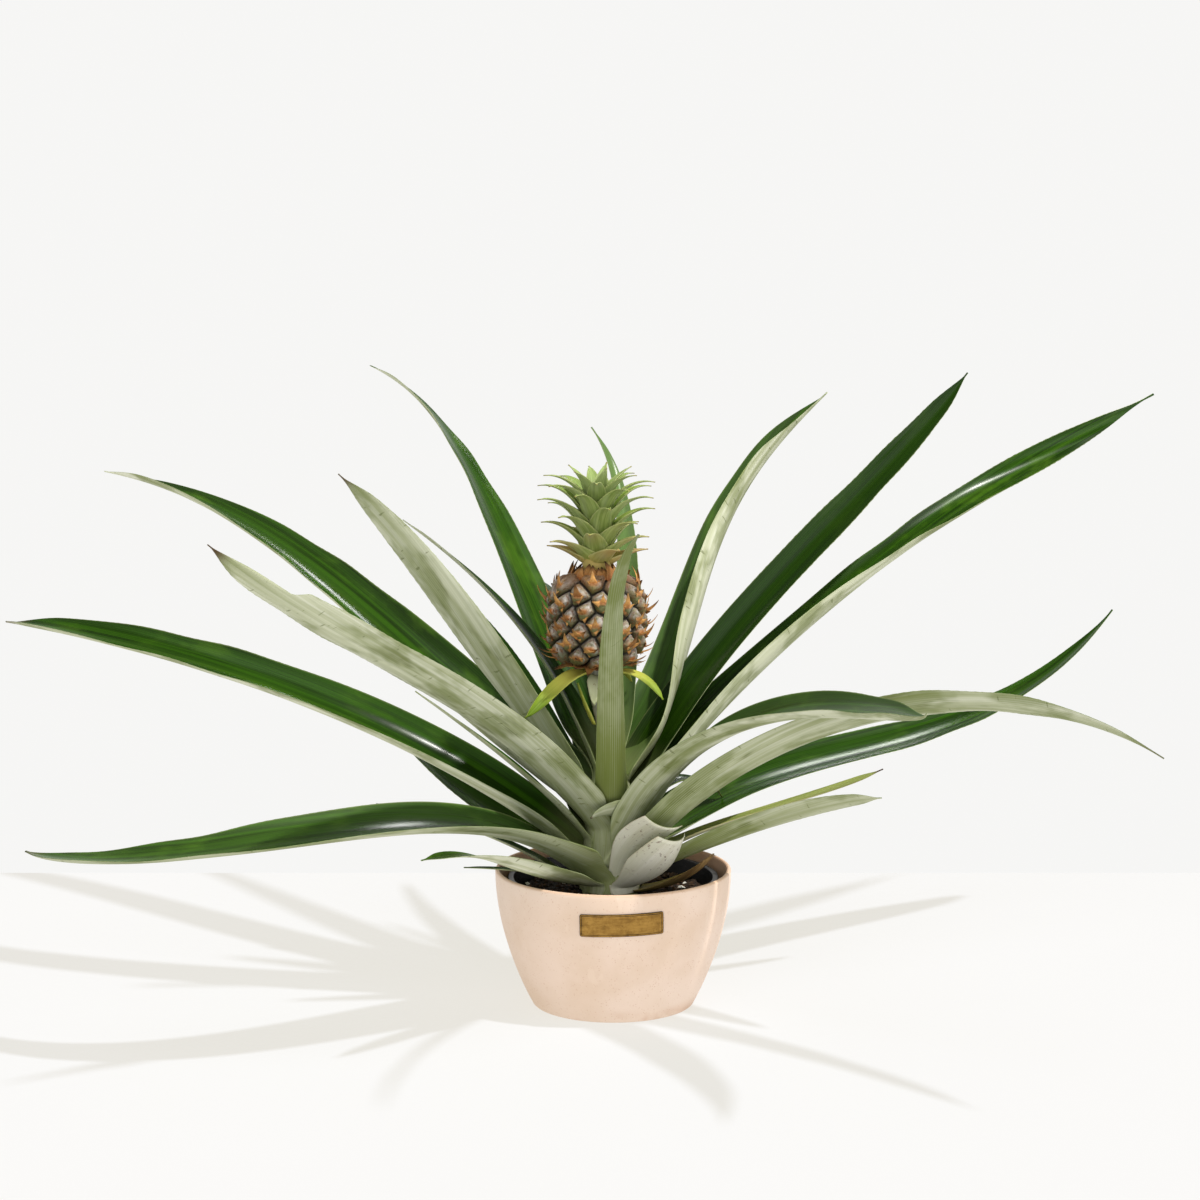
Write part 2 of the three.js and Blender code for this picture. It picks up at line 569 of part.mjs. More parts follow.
const FINISHES = {
  pot: { color: 0xe9c4a6, roughness: 0.75, metalness: 0 },
  plate: { color: 0x8a6a34, roughness: 0.45, metalness: 0.9 },
  nursery: { color: 0x141414, roughness: 0.35, metalness: 0 },
  soil: { color: 0x2b211a, roughness: 0.95, metalness: 0 },
  stem: { color: 0x8b9a5a, roughness: 0.7, metalness: 0 },
  leaf: { color: 0x2f5f26, roughness: 0.4, metalness: 0 },
  dry: { color: 0xa08a60, roughness: 0.8, metalness: 0 },
  fruit: { color: 0x8a7458, roughness: 0.7, metalness: 0 },
  crown: { color: 0x6f8f58, roughness: 0.55, metalness: 0 },
};

function mesh(name, geometry, finish) {
  const piece = new THREE.Mesh(geometry, new THREE.MeshStandardMaterial(FINISHES[finish]));
  piece.name = name;
  return piece;
}

const plant = new THREE.Group();
plant.name = 'potted_pineapple_plant';
plant.add(mesh('pot', potGeometry(), 'pot'));
plant.add(mesh('blank_plate', plateGeometry(), 'plate'));
plant.add(mesh('nursery_pot', nurseryGeometry(), 'nursery'));
plant.add(mesh('soil', soilGeometry(), 'soil'));
plant.add(mesh('stem', stemGeometry(), 'stem'));
for (const [name, leaf] of Object.entries(LEAVES)) {
  const rows = leaf.length > LONG_LEAF ? 12 : 6;
  plant.add(mesh(name, leafGeometry(leaf, rows, 4), 'leaf'));
}
for (const [name, bract] of Object.entries(BRACTS)) {
  const bend = stalkBend(bract.height);
  const leaf = { start: [STEM_X + (FRUIT_X - STEM_X) * bend, FRUIT_Y * bend], reach: STALK_RADIUS + 1.7,
    swing: [0, 0], twist: [0, 0], taper: 0.6, neck: 10, channel: 35, ...bract };
  plant.add(mesh(name, leafGeometry(leaf, 5, 4), 'crown'));
}
plant.add(mesh('fruit', fruitGeometry(), 'fruit'));
plant.add(mesh('crown', crownGeometry(), 'crown'));

export default plant;
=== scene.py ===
"""A small pineapple plant in fruit, in a nursery pot inside a bowl-shaped pot.

Lengths are in metres and angles in degrees. +Z is up, and the front of the plant faces -Y. The
origin is the centre of the outer pot's flat underside.
"""

import bpy
import numpy as np
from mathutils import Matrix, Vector


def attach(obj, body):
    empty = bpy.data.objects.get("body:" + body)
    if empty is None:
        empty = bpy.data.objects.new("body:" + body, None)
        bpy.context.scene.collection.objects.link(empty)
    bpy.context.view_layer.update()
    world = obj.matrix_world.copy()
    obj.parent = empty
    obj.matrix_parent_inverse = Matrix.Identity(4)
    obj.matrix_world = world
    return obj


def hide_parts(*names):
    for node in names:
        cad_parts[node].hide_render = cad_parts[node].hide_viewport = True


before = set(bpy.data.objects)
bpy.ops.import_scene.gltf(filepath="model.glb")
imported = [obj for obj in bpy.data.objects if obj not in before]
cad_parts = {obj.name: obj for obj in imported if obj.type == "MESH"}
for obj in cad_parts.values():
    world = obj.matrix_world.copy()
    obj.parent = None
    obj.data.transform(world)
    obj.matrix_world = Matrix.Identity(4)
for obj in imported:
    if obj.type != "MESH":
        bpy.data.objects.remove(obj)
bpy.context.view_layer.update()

# Outer pot
# A bowl moulded in one wall thickness from a matt mineral and resin mix, coloured pale peach all
# through, with painted shade on its inner wall and floor and along the top of its lip. It stands
# on its flat foot, and the nursery pot stands loose in it.

POT_HEIGHT = 0.096
POT_RIM_RADIUS = 0.0825
POT_FOOT_RADIUS = 0.056
POT_WALL = 0.0033
POT_FLOOR = 0.005
POT_FULLNESS = 0.87
POT_EDGE_ROUND = 0.0016
POT_INNER_ROUND = 0.003
POT_WALL_START = 0.004
POT_SIDES = 144


def linear(hex_colour):
    """A display colour such as "#e8c8aa" as the linear RGBA that a shader takes."""
    display = np.array([int(hex_colour[k:k + 2], 16) for k in (1, 3, 5)]) / 255
    light = np.where(display <= 0.04045, display / 12.92, ((display + 0.055) / 1.055) ** 2.4)
    return (*light, 1.0)


def smooth(t):
    """0 below 0, 1 above 1 and a cubic ease between."""
    s = np.clip(t, 0, 1)
    return s * s * (3 - 2 * s)


def add_mesh(name, points, faces, body="root"):
    """A smooth-shaded mesh object from an array of points and one of faces, riding on a body."""
    mesh = bpy.data.meshes.new(name)
    mesh.from_pydata(points.tolist(), [], [list(face) for face in faces])
    mesh.shade_smooth()
    piece = bpy.data.objects.new(name, mesh)
    bpy.context.scene.collection.objects.link(piece)
    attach(piece, body)
    return piece


def set_attribute(piece, name, values):
    """Stores one number per vertex, which the piece's material can read."""
    attribute = piece.data.attributes.new(name, "FLOAT", "POINT")
    attribute.data.foreach_set("value", np.asarray(values, np.float32).ravel())


def strip_faces(rows, columns, start=0, closed=False):
    """Quads between the neighbouring rows of a grid; the last column joins the first if closed."""
    i, j = np.meshgrid(np.arange(rows - 1), np.arange(columns if closed else columns - 1), indexing="ij")
    k = (j + 1) % columns
    quads = np.stack([i * columns + j, i * columns + k, (i + 1) * columns + k, (i + 1) * columns + j], -1)
    return quads.reshape(-1, 4) + start


def around(radius, angle, z):
    """Points at a radius and an angle in radians round the upright axis, at a height."""
    return np.stack(np.broadcast_arrays(radius * np.cos(angle), radius * np.sin(angle), z), -1)


def tube(rings, poles):
    """A closed skin over rings of points, with a fan round a point in the middle of each end."""
    rows, sides = rings.shape[:2]
    k = np.arange(sides)
    after = (k + 1) % sides
    top = (rows - 1) * sides
    faces = strip_faces(rows, sides, closed=True).tolist()
    faces += np.stack([np.full(sides, rows * sides), after, k], -1).tolist()
    faces += np.stack([np.full(sides, rows * sides + 1), top + k, top + after], -1).tolist()
    return np.vstack([rings.reshape(-1, 3), poles]), faces


def revolve(profile, sides):
    """A closed body of revolution: (radius, height) pairs from the axis below round to the axis above.

    Each pair off the axis makes a ring, radius times the cosine and sine of equal angles.
    """
    profile = np.asarray(profile, float)
    angle = np.linspace(0, 2 * np.pi, sides, endpoint=False)
    poles = [[0, 0, profile[0, 1]], [0, 0, profile[-1, 1]]]
    return tube(around(profile[1:-1, :1], angle, profile[1:-1, 1:]), poles)


def arc(centre, radius, begin, end, steps):
    """Points (r, z) on part of a circle in the profile's plane, between two angles in degrees."""
    angle = np.radians(np.linspace(begin, end, steps))
    return np.stack([centre[0] + radius * np.cos(angle), centre[1] + radius * np.sin(angle)], -1)


def pot_radius(z):
    """The outer wall's radius at a height: foot + flare * sin(quarter turn * z / height) ^ fullness."""
    share = np.clip(np.asarray(z) / POT_HEIGHT, 0, 1)
    flare = np.sin(np.pi * share / 2) ** POT_FULLNESS
    return POT_FOOT_RADIUS + (POT_RIM_RADIUS - POT_FOOT_RADIUS) * flare


class Wire:
    """An output socket in a material. Arithmetic on it adds the Math nodes."""

    def __init__(self, finish, socket):
        self.finish = finish
        self.socket = socket

    def math(self, operation, first, second=0.0):
        return self.finish.node("ShaderNodeMath", {"operation": operation}, {0: first, 1: second})

    def __add__(self, other):
        return self.math("ADD", self, other)

    def __sub__(self, other):
        return self.math("SUBTRACT", self, other)

    def __rsub__(self, other):
        return self.math("SUBTRACT", other, self)

    def __mul__(self, other):
        return self.math("MULTIPLY", self, other)

    __radd__ = __add__
    __rmul__ = __mul__

    def sine(self):
        return self.math("SINE", self)

    def size(self):
        return self.math("ABSOLUTE", self)

    def ramp(self, low, high):
        """0 below low, 1 above high and a smooth rise between; it falls if high is below low."""
        if high < low:
            return 1 - self.ramp(high, low)
        return self.finish.node(
            "ShaderNodeMapRange", {"interpolation_type": "SMOOTHSTEP"}, {0: self, 1: low, 2: high})


class Finish:
    """A material with one Principled shader, whose fixed values are set on its own sockets."""

    def __init__(self, name, **fixed):
        self.material = bpy.data.materials.new(name)
        self.material.use_nodes = True
        self.tree = self.material.node_tree
        self.shader = self.tree.nodes["Principled BSDF"]
        for socket, value in fixed.items():
            self.shader.inputs[socket.replace("_", " ")].default_value = value

    def node(self, kind, settings=None, inputs=None, output=0):
        """Adds a node: its settings first, then the values or links of its sockets."""
        made = self.tree.nodes.new(kind)
        for name, value in (settings or {}).items():
            setattr(made, name, value)
        for name, value in (inputs or {}).items():
            if isinstance(value, Wire):
                self.tree.links.new(value.socket, made.inputs[name])
            else:
                made.inputs[name].default_value = value
        return Wire(self, made.outputs[output])

    def place(self):
        """The point's own place, in metres, on each axis."""
        return self.node("ShaderNodeTexCoord", output="Object")

    def part(self, vector, axis):
        """One axis of a vector, named X, Y or Z."""
        return self.node("ShaderNodeSeparateXYZ", inputs={0: vector}, output="XYZ".index(axis))

    def attribute(self, name):
        """The number that the piece's vertices carry under this name."""
        return self.node("ShaderNodeAttribute", {"attribute_name": name}, output="Fac")

    def attributes(self, *names):
        return [self.attribute(name) for name in names]

    def stretch(self, vector, scale):
        """A vector with each axis multiplied by its own scale."""
        return self.node("ShaderNodeMapping", inputs={"Vector": vector, "Scale": scale})

    def join(self, x, y, z):
        return self.node("ShaderNodeCombineXYZ", inputs={0: x, 1: y, 2: z})

    def noise(self, vector, scale, detail=3.0, roughness=0.5):
        """Clouds between 0 and 1, about one over the scale in size."""
        return self.node("ShaderNodeTexNoise", inputs={
            "Vector": vector, "Scale": scale, "Detail": detail, "Roughness": roughness})

    def cells(self, vector, scale):
        """The distance to the nearest of many scattered points, in shares of their spacing."""
        return self.node("ShaderNodeTexVoronoi", inputs={"Vector": vector, "Scale": scale})

    def mix(self, share, first, second):
        """A colour between two: a share of 0 gives the first and 1 gives the second.

        A colour is a socket, a linear RGBA or a display colour such as "#e8c8aa".
        """
        first, second = (linear(tint) if isinstance(tint, str) else tint for tint in (first, second))
        return self.node("ShaderNodeMix", {"data_type": "RGBA"}, {0: share, 6: first, 7: second}, 2)

    def layers(self, ground, *coats):
        """The ground colour with each (share, colour) coat mixed over it in turn."""
        colour = ground
        for share, coat in coats:
            colour = self.mix(share, colour, coat)
        return colour

    def bump(self, height, distance, strength=1.0):
        """A normal from a height of 0 to 1 that stands for this distance in metres."""
        return self.node(
            "ShaderNodeBump", inputs={"Strength": strength, "Distance": distance, "Height": height})

    def surface(self, **links):
        """The material, with the wires linked to the shader's sockets of these names."""
        for socket, wire in links.items():
            self.tree.links.new(wire.socket, self.shader.inputs[socket.replace("_", " ")])
        return self.material


wall_heights = np.linspace(POT_WALL_START, POT_HEIGHT - POT_EDGE_ROUND, 40)
outer_wall = np.stack([pot_radius(wall_heights), wall_heights], -1)
inner_heights = np.linspace(POT_HEIGHT - 0.003, POT_FLOOR + 2 * POT_INNER_ROUND, 24)
inner_wall = np.stack([pot_radius(inner_heights) - POT_WALL, inner_heights], -1)
foot_round = (POT_FOOT_RADIUS - 0.0006, POT_EDGE_ROUND)
rim_round = (POT_RIM_RADIUS - POT_WALL / 2, POT_HEIGHT - POT_EDGE_ROUND)
floor_round = (POT_FOOT_RADIUS - POT_WALL - POT_INNER_ROUND, POT_FLOOR + POT_INNER_ROUND)
pot_profile = np.vstack([
    [[0, 0], [POT_FOOT_RADIUS - 0.006, 0], [POT_FOOT_RADIUS - 0.0012, 0.0001]],
    arc(foot_round, POT_EDGE_ROUND, -80, -10, 5),
    outer_wall,
    arc(rim_round, POT_EDGE_ROUND, 12, 168, 11),
    inner_wall,
    arc(floor_round, POT_INNER_ROUND, 0, -90, 6),
    [[0.02, POT_FLOOR], [0, POT_FLOOR]],
])

peach = Finish("pale_peach_composite", IOR=1.45)
place = peach.place()
clouds = peach.noise(place, 26, 4, 0.55)
drift = peach.noise(peach.stretch(place, (1, 1, 2.2)), 9, 2)
freckles = peach.cells(place, 620).ramp(0.30, 0.12) * peach.noise(place, 180, 2).ramp(0.50, 0.62)
pits = peach.cells(peach.stretch(place, (1, 1, 0.7)), 330).ramp(0.20, 0.06)
scuffs = peach.noise(peach.stretch(place, (120, 120, 34)), 1.0, 3, 0.6).ramp(0.60, 0.72)
# Darker in cloudy patches towards the foot.
foot_darkening = peach.part(place, "Z").ramp(0.012, 0.0) * clouds.ramp(0.45, 0.6)
# Painted shade: a darker tan along the top of the lip.
lip_painted_shade = peach.part(place, "Z").ramp(POT_HEIGHT - 0.0022, POT_HEIGHT - 0.0004)
colour = peach.layers(
    "#e3c9b2",
    (clouds.ramp(0.35, 0.68), "#ebd3c0"),
    (drift.ramp(0.40, 0.66) * 0.35, "#f3e0d2"),
    (scuffs * 0.22, "#f4e0cd"),
    (freckles * 0.5, "#c08e68"),
    (pits * 0.35, "#cda283"),
    (foot_darkening * 0.5, "#c79a78"),
    # Painted shade on the lip's top.
    (lip_painted_shade * 0.45, "#c99b73"),
    # Painted shade over the inner wall and floor.
    (peach.attribute("inner_painted_shade") * 0.7, "#a97a55"),
)
grain = peach.noise(place, 900, 2) * 0.5 + clouds * 0.5 - pits * 0.7
points, faces = revolve(pot_profile, POT_SIDES)
pot = add_mesh("pot_bowl", points, faces)
within = pot_radius(points[:, 2]) - np.hypot(points[:, 0], points[:, 1])
# The inner wall and floor, which take the painted shade.
inner_painted_shade = smooth((within - POT_EDGE_ROUND) / 0.0012) * (points[:, 2] > POT_FLOOR / 2)
set_attribute(pot, "inner_painted_shade", inner_painted_shade)
pot.data.materials.append(peach.surface(
    Base_Color=colour,
    Roughness=0.62 - scuffs * 0.08 + pits * 0.1,
    Normal=peach.bump(grain, 0.00022, 0.5),
))
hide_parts("pot")

# Plate
# A small strip of sheet brass, stamped with a plain border line, aged dark in its low places and
# brushed along its length. It is bent to the pot's wall and glued on, and it is left blank.

PLATE_WIDTH = 0.058
PLATE_HEIGHT = 0.016
PLATE_THICKNESS = 0.001
PLATE_CORNER = 0.0016
PLATE_AZIMUTH = -86
PLATE_CENTRE_HEIGHT = 0.075
PLATE_TILT = 1.2
PLATE_GAP = 0.0003
PLATE_EDGE_ROUND = 0.0008
PLATE_EDGE_SHARE = 0.65
PLATE_LINE_INSET = 0.0013
PLATE_LINE_WIDTH = 0.00028
PLATE_LINE_DEPTH = 0.00022
PLATE_COLUMNS = 140
PLATE_ROWS = 56


def sheet_faces(rows, columns):
    """Faces of a thin body whose upper grid of points comes first and its lower grid after it."""
    size = rows * columns
    upper = strip_faces(rows, columns)
    lower = strip_faces(rows, columns, size)[:, ::-1]
    left = np.arange(rows) * columns
    right = left + columns - 1
    front = np.arange(columns)
    back = front + (rows - 1) * columns
    edges = ((left[:-1], left[1:]), (right[1:], right[:-1]), (front[1:], front[:-1]), (back[:-1], back[1:]))
    rims = [np.stack([a, b, b + size, a + size], -1) for a, b in edges]
    return np.vstack([upper, lower, *rims])


def plate_points(columns, rows):
    """The plate's two faces: a rounded rectangle wrapped round the pot's wall.

    Depth into the plate from its outline gives the face's height: a quarter-round edge, then a flat
    face with a shallow groove a little way in.
    """
    half = PLATE_WIDTH / 2
    s = np.sin(np.pi / 2 * np.linspace(-1, 1, columns))[:, None] * np.ones((1, rows))
    across = half * s
    into = np.clip(np.abs(across) - (half - PLATE_CORNER), 0, PLATE_CORNER)
    cut = PLATE_CORNER - np.sqrt(PLATE_CORNER ** 2 - into ** 2)
    t = np.sin(np.pi / 2 * np.linspace(-1, 1, rows))[None, :]
    up = (PLATE_HEIGHT / 2 - cut) * t
    depth = np.minimum(half - np.abs(across), PLATE_HEIGHT / 2 - cut - np.abs(up))
    edge = np.sqrt(np.clip(1 - (1 - np.clip(depth / PLATE_EDGE_ROUND, 0, 1)) ** 2, 0, 1))
    groove = np.exp(-((depth - PLATE_LINE_INSET) / PLATE_LINE_WIDTH) ** 2)
    tilt = np.radians(PLATE_TILT)
    side = across * np.cos(tilt) - up * np.sin(tilt)
    z = PLATE_CENTRE_HEIGHT + across * np.sin(tilt) + up * np.cos(tilt)
    thick = PLATE_THICKNESS * (1 - PLATE_EDGE_SHARE + PLATE_EDGE_SHARE * edge)
    grids = []
    for height in (thick - PLATE_LINE_DEPTH * groove, 0 * edge):
        radius = pot_radius(z) + PLATE_GAP + height
        angle = np.radians(PLATE_AZIMUTH) + side / radius
        grids.append(around(radius, angle, z).reshape(-1, 3))
    return np.vstack(grids), np.concatenate([depth.ravel(), 0 * depth.ravel()]), groove


points, depth, groove = plate_points(PLATE_COLUMNS, PLATE_ROWS)
plate = add_mesh("brass_plate", points, sheet_faces(PLATE_COLUMNS, PLATE_ROWS))
set_attribute(plate, "depth", depth * 1000)
set_attribute(plate, "groove", np.concatenate([groove.ravel(), 0 * groove.ravel()]))
brass = Finish("aged_brass", IOR=1.5)
place = brass.place()
brushing = brass.noise(brass.stretch(place, (110, 110, 700)), 1.0, 3, 0.6)
stain = brass.noise(place, 170, 5, 0.65)
spots = brass.noise(place, 700, 2).ramp(0.60, 0.72)
rim_dark = brass.attribute("depth").ramp(0.75, 0.15)
dark = (rim_dark * 0.85 + brass.attribute("groove") * 0.8 + stain.ramp(0.48, 0.72) * 0.3).ramp(0.0, 1.0)
tarnish = brushing.ramp(0.2, 0.8) * 0.5 + stain.ramp(0.6, 0.35) * 0.5
colour = brass.layers(
    "#8a6630",
    (tarnish, "#b8904a"),
    (dark, "#2d1c0b"),
    (spots * 0.35, "#5a3d1a"),
)
plate.data.materials.append(brass.surface(
    Base_Color=colour,
    Metallic=0.92 - dark * 0.35,
    Roughness=0.36 + brushing * 0.16 + dark * 0.22,
    Normal=brass.bump(brushing * 0.5 + stain * 0.5, 0.00009, 0.6),
))
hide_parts("blank_plate")

# Nursery pot
# A thin tapered pot of black polypropylene with a rolled lip; the drain holes in its floor are not
# drawn. It stands loose in the outer pot and is lifted out for watering.

NURSERY_RIM_RADIUS = 0.074
NURSERY_FLOOR_RADIUS = 0.050
NURSERY_TOP = 0.090
NURSERY_WALL = 0.0014
NURSERY_LIP = 0.003
NURSERY_LIP_DEPTH = 0.008
NURSERY_FOOT_ROUND = 0.002
NURSERY_LIP_BEVEL = 0.0006
NURSERY_LIP_ROUND = 0.0012
NURSERY_INNER_ROUND = 0.0008
NURSERY_SIDES = 120
TOUCH_GAP = 0.0003


def nursery_radius(z):
    """The tapered wall's outer radius, which grows evenly with height."""
    share = (np.asarray(z) - POT_FLOOR) / (NURSERY_TOP - POT_FLOOR)
    return NURSERY_FLOOR_RADIUS + (NURSERY_RIM_RADIUS - NURSERY_LIP - NURSERY_FLOOR_RADIUS) * share


nursery_bottom = POT_FLOOR + TOUCH_GAP
nursery_floor = nursery_bottom + NURSERY_WALL
lip_bottom = NURSERY_TOP - NURSERY_LIP_DEPTH
lip_round = (NURSERY_RIM_RADIUS - NURSERY_LIP_ROUND, NURSERY_TOP - NURSERY_LIP_ROUND)
inner_radius = nursery_radius(NURSERY_TOP) - NURSERY_WALL
inner_round = (inner_radius + NURSERY_INNER_ROUND, NURSERY_TOP - NURSERY_INNER_ROUND)
nursery_profile = np.vstack([
    [[0, nursery_bottom], [NURSERY_FLOOR_RADIUS - NURSERY_FOOT_ROUND, nursery_bottom]],
    [[NURSERY_FLOOR_RADIUS, nursery_bottom + NURSERY_FOOT_ROUND]],
    [[nursery_radius(lip_bottom), lip_bottom], [NURSERY_RIM_RADIUS - NURSERY_LIP_BEVEL, lip_bottom]],
    [[NURSERY_RIM_RADIUS, lip_bottom + NURSERY_LIP_BEVEL]],
    arc(lip_round, NURSERY_LIP_ROUND, 0, 90, 6),
    arc(inner_round, NURSERY_INNER_ROUND, 90, 180, 5),
    [[nursery_radius(lip_bottom) - NURSERY_WALL, lip_bottom]],
    [[NURSERY_FLOOR_RADIUS - NURSERY_WALL, nursery_floor + NURSERY_FOOT_ROUND]],
    [[NURSERY_FLOOR_RADIUS - NURSERY_WALL - NURSERY_FOOT_ROUND, nursery_floor], [0, nursery_floor]],
])
nursery = add_mesh("nursery_pot_shell", *revolve(nursery_profile, NURSERY_SIDES))
plastic = Finish("black_polypropylene", IOR=1.49, Specular_IOR_Level=0.15)
place = plastic.place()
dust = plastic.noise(place, 90, 4, 0.65)
scratches = plastic.noise(plastic.stretch(place, (60, 60, 700)), 1.0, 2).ramp(0.62, 0.72)
colour = plastic.mix(dust.ramp(0.5, 0.78) * 0.3, "#0a0a08", "#3a2f20")
nursery.data.materials.append(plastic.surface(
    Base_Color=colour,
    Roughness=0.22 + dust * 0.18 + scratches * 0.15,
    Normal=plastic.bump(dust * 0.6 + scratches * 0.4, 0.00012, 0.6),
))
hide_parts("nursery_pot")

# Soil
# A dark peat and bark potting mix that fills the nursery pot to a little under its lip. Loose bark
# chips, peat crumbs and a few white grains of perlite lie on it.

SOIL_TOP = 0.080
STEM_X = -0.002
STEM_HOLE_RADIUS = 0.0206
STEM_HOLE_FLOOR = 0.056
SOIL_SIDES = 160
CLOD_HEIGHT = 0.0009
CLOD_CREST = 0.0006
CHIP_COUNT = 520
CHIP_SMALLEST = 0.0010
CHIP_LARGEST = 0.0034
CHIP_CORNERS = 6
CHIP_POINTS = CHIP_CORNERS + 2


def lumps(x, y, seed, count, low, high):
    """A sum of plane waves of random direction and phase, between about -1 and 1.

    Each wave's number, in radians a metre, is drawn between low and high.
    """
    chance = np.random.default_rng(seed)
    total = np.zeros_like(x)
    for _ in range(count):
        angle = chance.uniform(0, np.pi)
        wave = chance.uniform(low, high)
        total = total + np.sin((x * np.cos(angle) + y * np.sin(angle)) * wave + chance.uniform(0, 6.3))
    return total / np.sqrt(count)


soil_bottom = POT_FLOOR + 2 * TOUCH_GAP + NURSERY_WALL
soil_rim = nursery_radius(SOIL_TOP) - NURSERY_WALL - 2 * TOUCH_GAP
soil_rings = np.linspace(STEM_HOLE_RADIUS + 0.003, soil_rim - 0.0005, 34)
soil_profile = np.vstack([
    [[0, soil_bottom], [nursery_radius(soil_bottom) - NURSERY_WALL - 2 * TOUCH_GAP, soil_bottom]],
    [[soil_rim - 0.0006, SOIL_TOP - 0.004]],
    np.stack([soil_rings, np.full_like(soil_rings, SOIL_TOP - 0.0015)], -1)[::-1],
    [[STEM_HOLE_RADIUS, SOIL_TOP - 0.003], [STEM_HOLE_RADIUS, STEM_HOLE_FLOOR], [0, STEM_HOLE_FLOOR]],
])
points, faces = revolve(soil_profile, SOIL_SIDES)
points[:, 0] += STEM_X * (np.hypot(points[:, 0], points[:, 1]) < STEM_HOLE_RADIUS + 0.004)
on_top = points[:, 2] > SOIL_TOP - 0.002
clods = lumps(points[:, 0], points[:, 1], 3, 16, 300, 1500)
points[:, 2] += on_top * (CLOD_HEIGHT * clods + CLOD_CREST * np.abs(clods))
soil = add_mesh("soil_fill", points, faces)
peat = Finish("peat_and_bark", IOR=1.35)
place = peat.place()
crumb = peat.noise(place, 420, 4, 0.7)
fleck = peat.cells(place, 260).ramp(0.35, 0.15)
colour = peat.layers(
    "#120d09",
    (crumb.ramp(0.35, 0.7), "#3b2a1c"),
    (fleck * 0.4, "#5b432c"),
)
soil.data.materials.append(peat.surface(
    Base_Color=colour,
    Roughness=0.82 + crumb * 0.15,
    Normal=peat.bump(crumb, 0.0012, 0.9),
))
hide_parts("soil")


def scattered_chips(count, seed, smallest, largest):
    """Closed six-sided chips lying at random on the soil, flattened and turned by random angles.

    Each chip is a hexagonal ring with a point above and one below, stretched and given ragged radii.
    """
    chance = np.random.default_rng(seed)
    radius = np.sqrt(chance.uniform((STEM_HOLE_RADIUS + 0.004) ** 2, (soil_rim - 0.004) ** 2, count))
    azimuth = chance.uniform(0, 2 * np.pi, count)
    size = chance.uniform(smallest, largest, count)
    turn = chance.uniform(0, 2 * np.pi, count)[:, None]
    corner = 2 * np.pi * np.arange(CHIP_CORNERS)[None, :] / CHIP_CORNERS
    ragged = chance.uniform(0.7, 1.25, (count, CHIP_CORNERS))
    long = size[:, None] * ragged * np.cos(corner)
    short = size[:, None] * 0.55 * ragged * np.sin(corner)
    lift = chance.uniform(-0.25, 0.25, (count, CHIP_CORNERS)) * size[:, None] * 0.6
    ring = np.stack([long * np.cos(turn) - short * np.sin(turn),
                     long * np.sin(turn) + short * np.cos(turn), lift], -1)
    caps = np.zeros((count, 2, 3))
    caps[:, 0, 2] = size * 0.45
    caps[:, 1, 2] = -size * 0.35
    centre = around(radius, azimuth, SOIL_TOP + 0.0002 + size * 0.15) + [STEM_X, 0, 0]
    points = np.concatenate([ring, caps], 1) + centre[:, None, :]
    k = np.arange(CHIP_CORNERS)
    after = (k + 1) % CHIP_CORNERS
    above, below = CHIP_CORNERS + 0 * k, CHIP_CORNERS + 1 + 0 * k
    fan = np.vstack([np.stack([k, after, above], -1), np.stack([after, k, below], -1)])
    faces = (fan[None] + CHIP_POINTS * np.arange(count)[:, None, None]).reshape(-1, 3)
    shade = np.repeat(chance.uniform(0, 1, count), CHIP_POINTS)
    return points.reshape(-1, 3), faces, shade


points, faces, shade = scattered_chips(CHIP_COUNT, 11, CHIP_SMALLEST, CHIP_LARGEST)
chips = add_mesh("bark_chips", points, faces)
chips.data.shade_flat()
set_attribute(chips, "shade", shade)
bark = Finish("bark_and_perlite", IOR=1.4)
place = bark.place()
fibre = bark.noise(bark.stretch(place, (300, 900, 900)), 1.0, 3)
colour = bark.layers(
    "#1a110b",
    (bark.attribute("shade"), "#5d4229"),
    (fibre.ramp(0.45, 0.7) * 0.5, "#2a1c11"),
    (bark.attribute("shade").ramp(0.955, 0.965), "#d9d6cc"),
)
chips.data.materials.append(bark.surface(
    Base_Color=colour,
    Roughness=0.75 + fibre * 0.2,
    Normal=bark.bump(fibre, 0.0004, 0.8),
))

# Stem and fruit stalk
# A club-shaped fleshy stem, ringed with the scars of shed leaves, that narrows into the bare grey
# stalk of the fruit. It is one grown piece and stands in the hole in the soil.

STEM_PROFILE = np.array([[0.058, 0.016], [0.080, 0.020], [0.100, 0.019], [0.150, 0.014], [0.175, 0.009]])
STEM_SIDES = 40
STEM_RIBS = 9
STEM_RIB_DEPTH = 0.02
SCAR_START = 0.060
SCAR_PITCH = 0.0068
SCAR_DEPTH = 0.0005
STALK_RADIUS = 0.007
STALK_START = 0.172
STALK_NECK = 0.010
FRUIT_X = -0.0115
FRUIT_Y = 0.004
FRUIT_BOTTOM = 0.238
FRUIT_TOP = 0.304
STALK_TOP = FRUIT_BOTTOM - TOUCH_GAP


def stem_radius(z):
    """The stem's radius at a height, by straight lines between the measured levels."""
    return np.interp(z, STEM_PROFILE[:, 0], STEM_PROFILE[:, 1])


def stalk_centre(z):
    """The centreline's x and y at a height: it eases over from the stem's axis to the fruit's."""
    moved = smooth((z - STALK_START) / (STALK_TOP - STALK_START))
    return STEM_X + (FRUIT_X - STEM_X) * moved, FRUIT_Y * moved


def round_bar(centres, radii, sides):
    """A closed bar of level rings about a list of centres, with a point in the middle of each end."""
    angle = np.linspace(0, 2 * np.pi, sides, endpoint=False)
    return tube(centres[:, None, :] + around(radii, angle, 0.0), centres[[0, -1]])


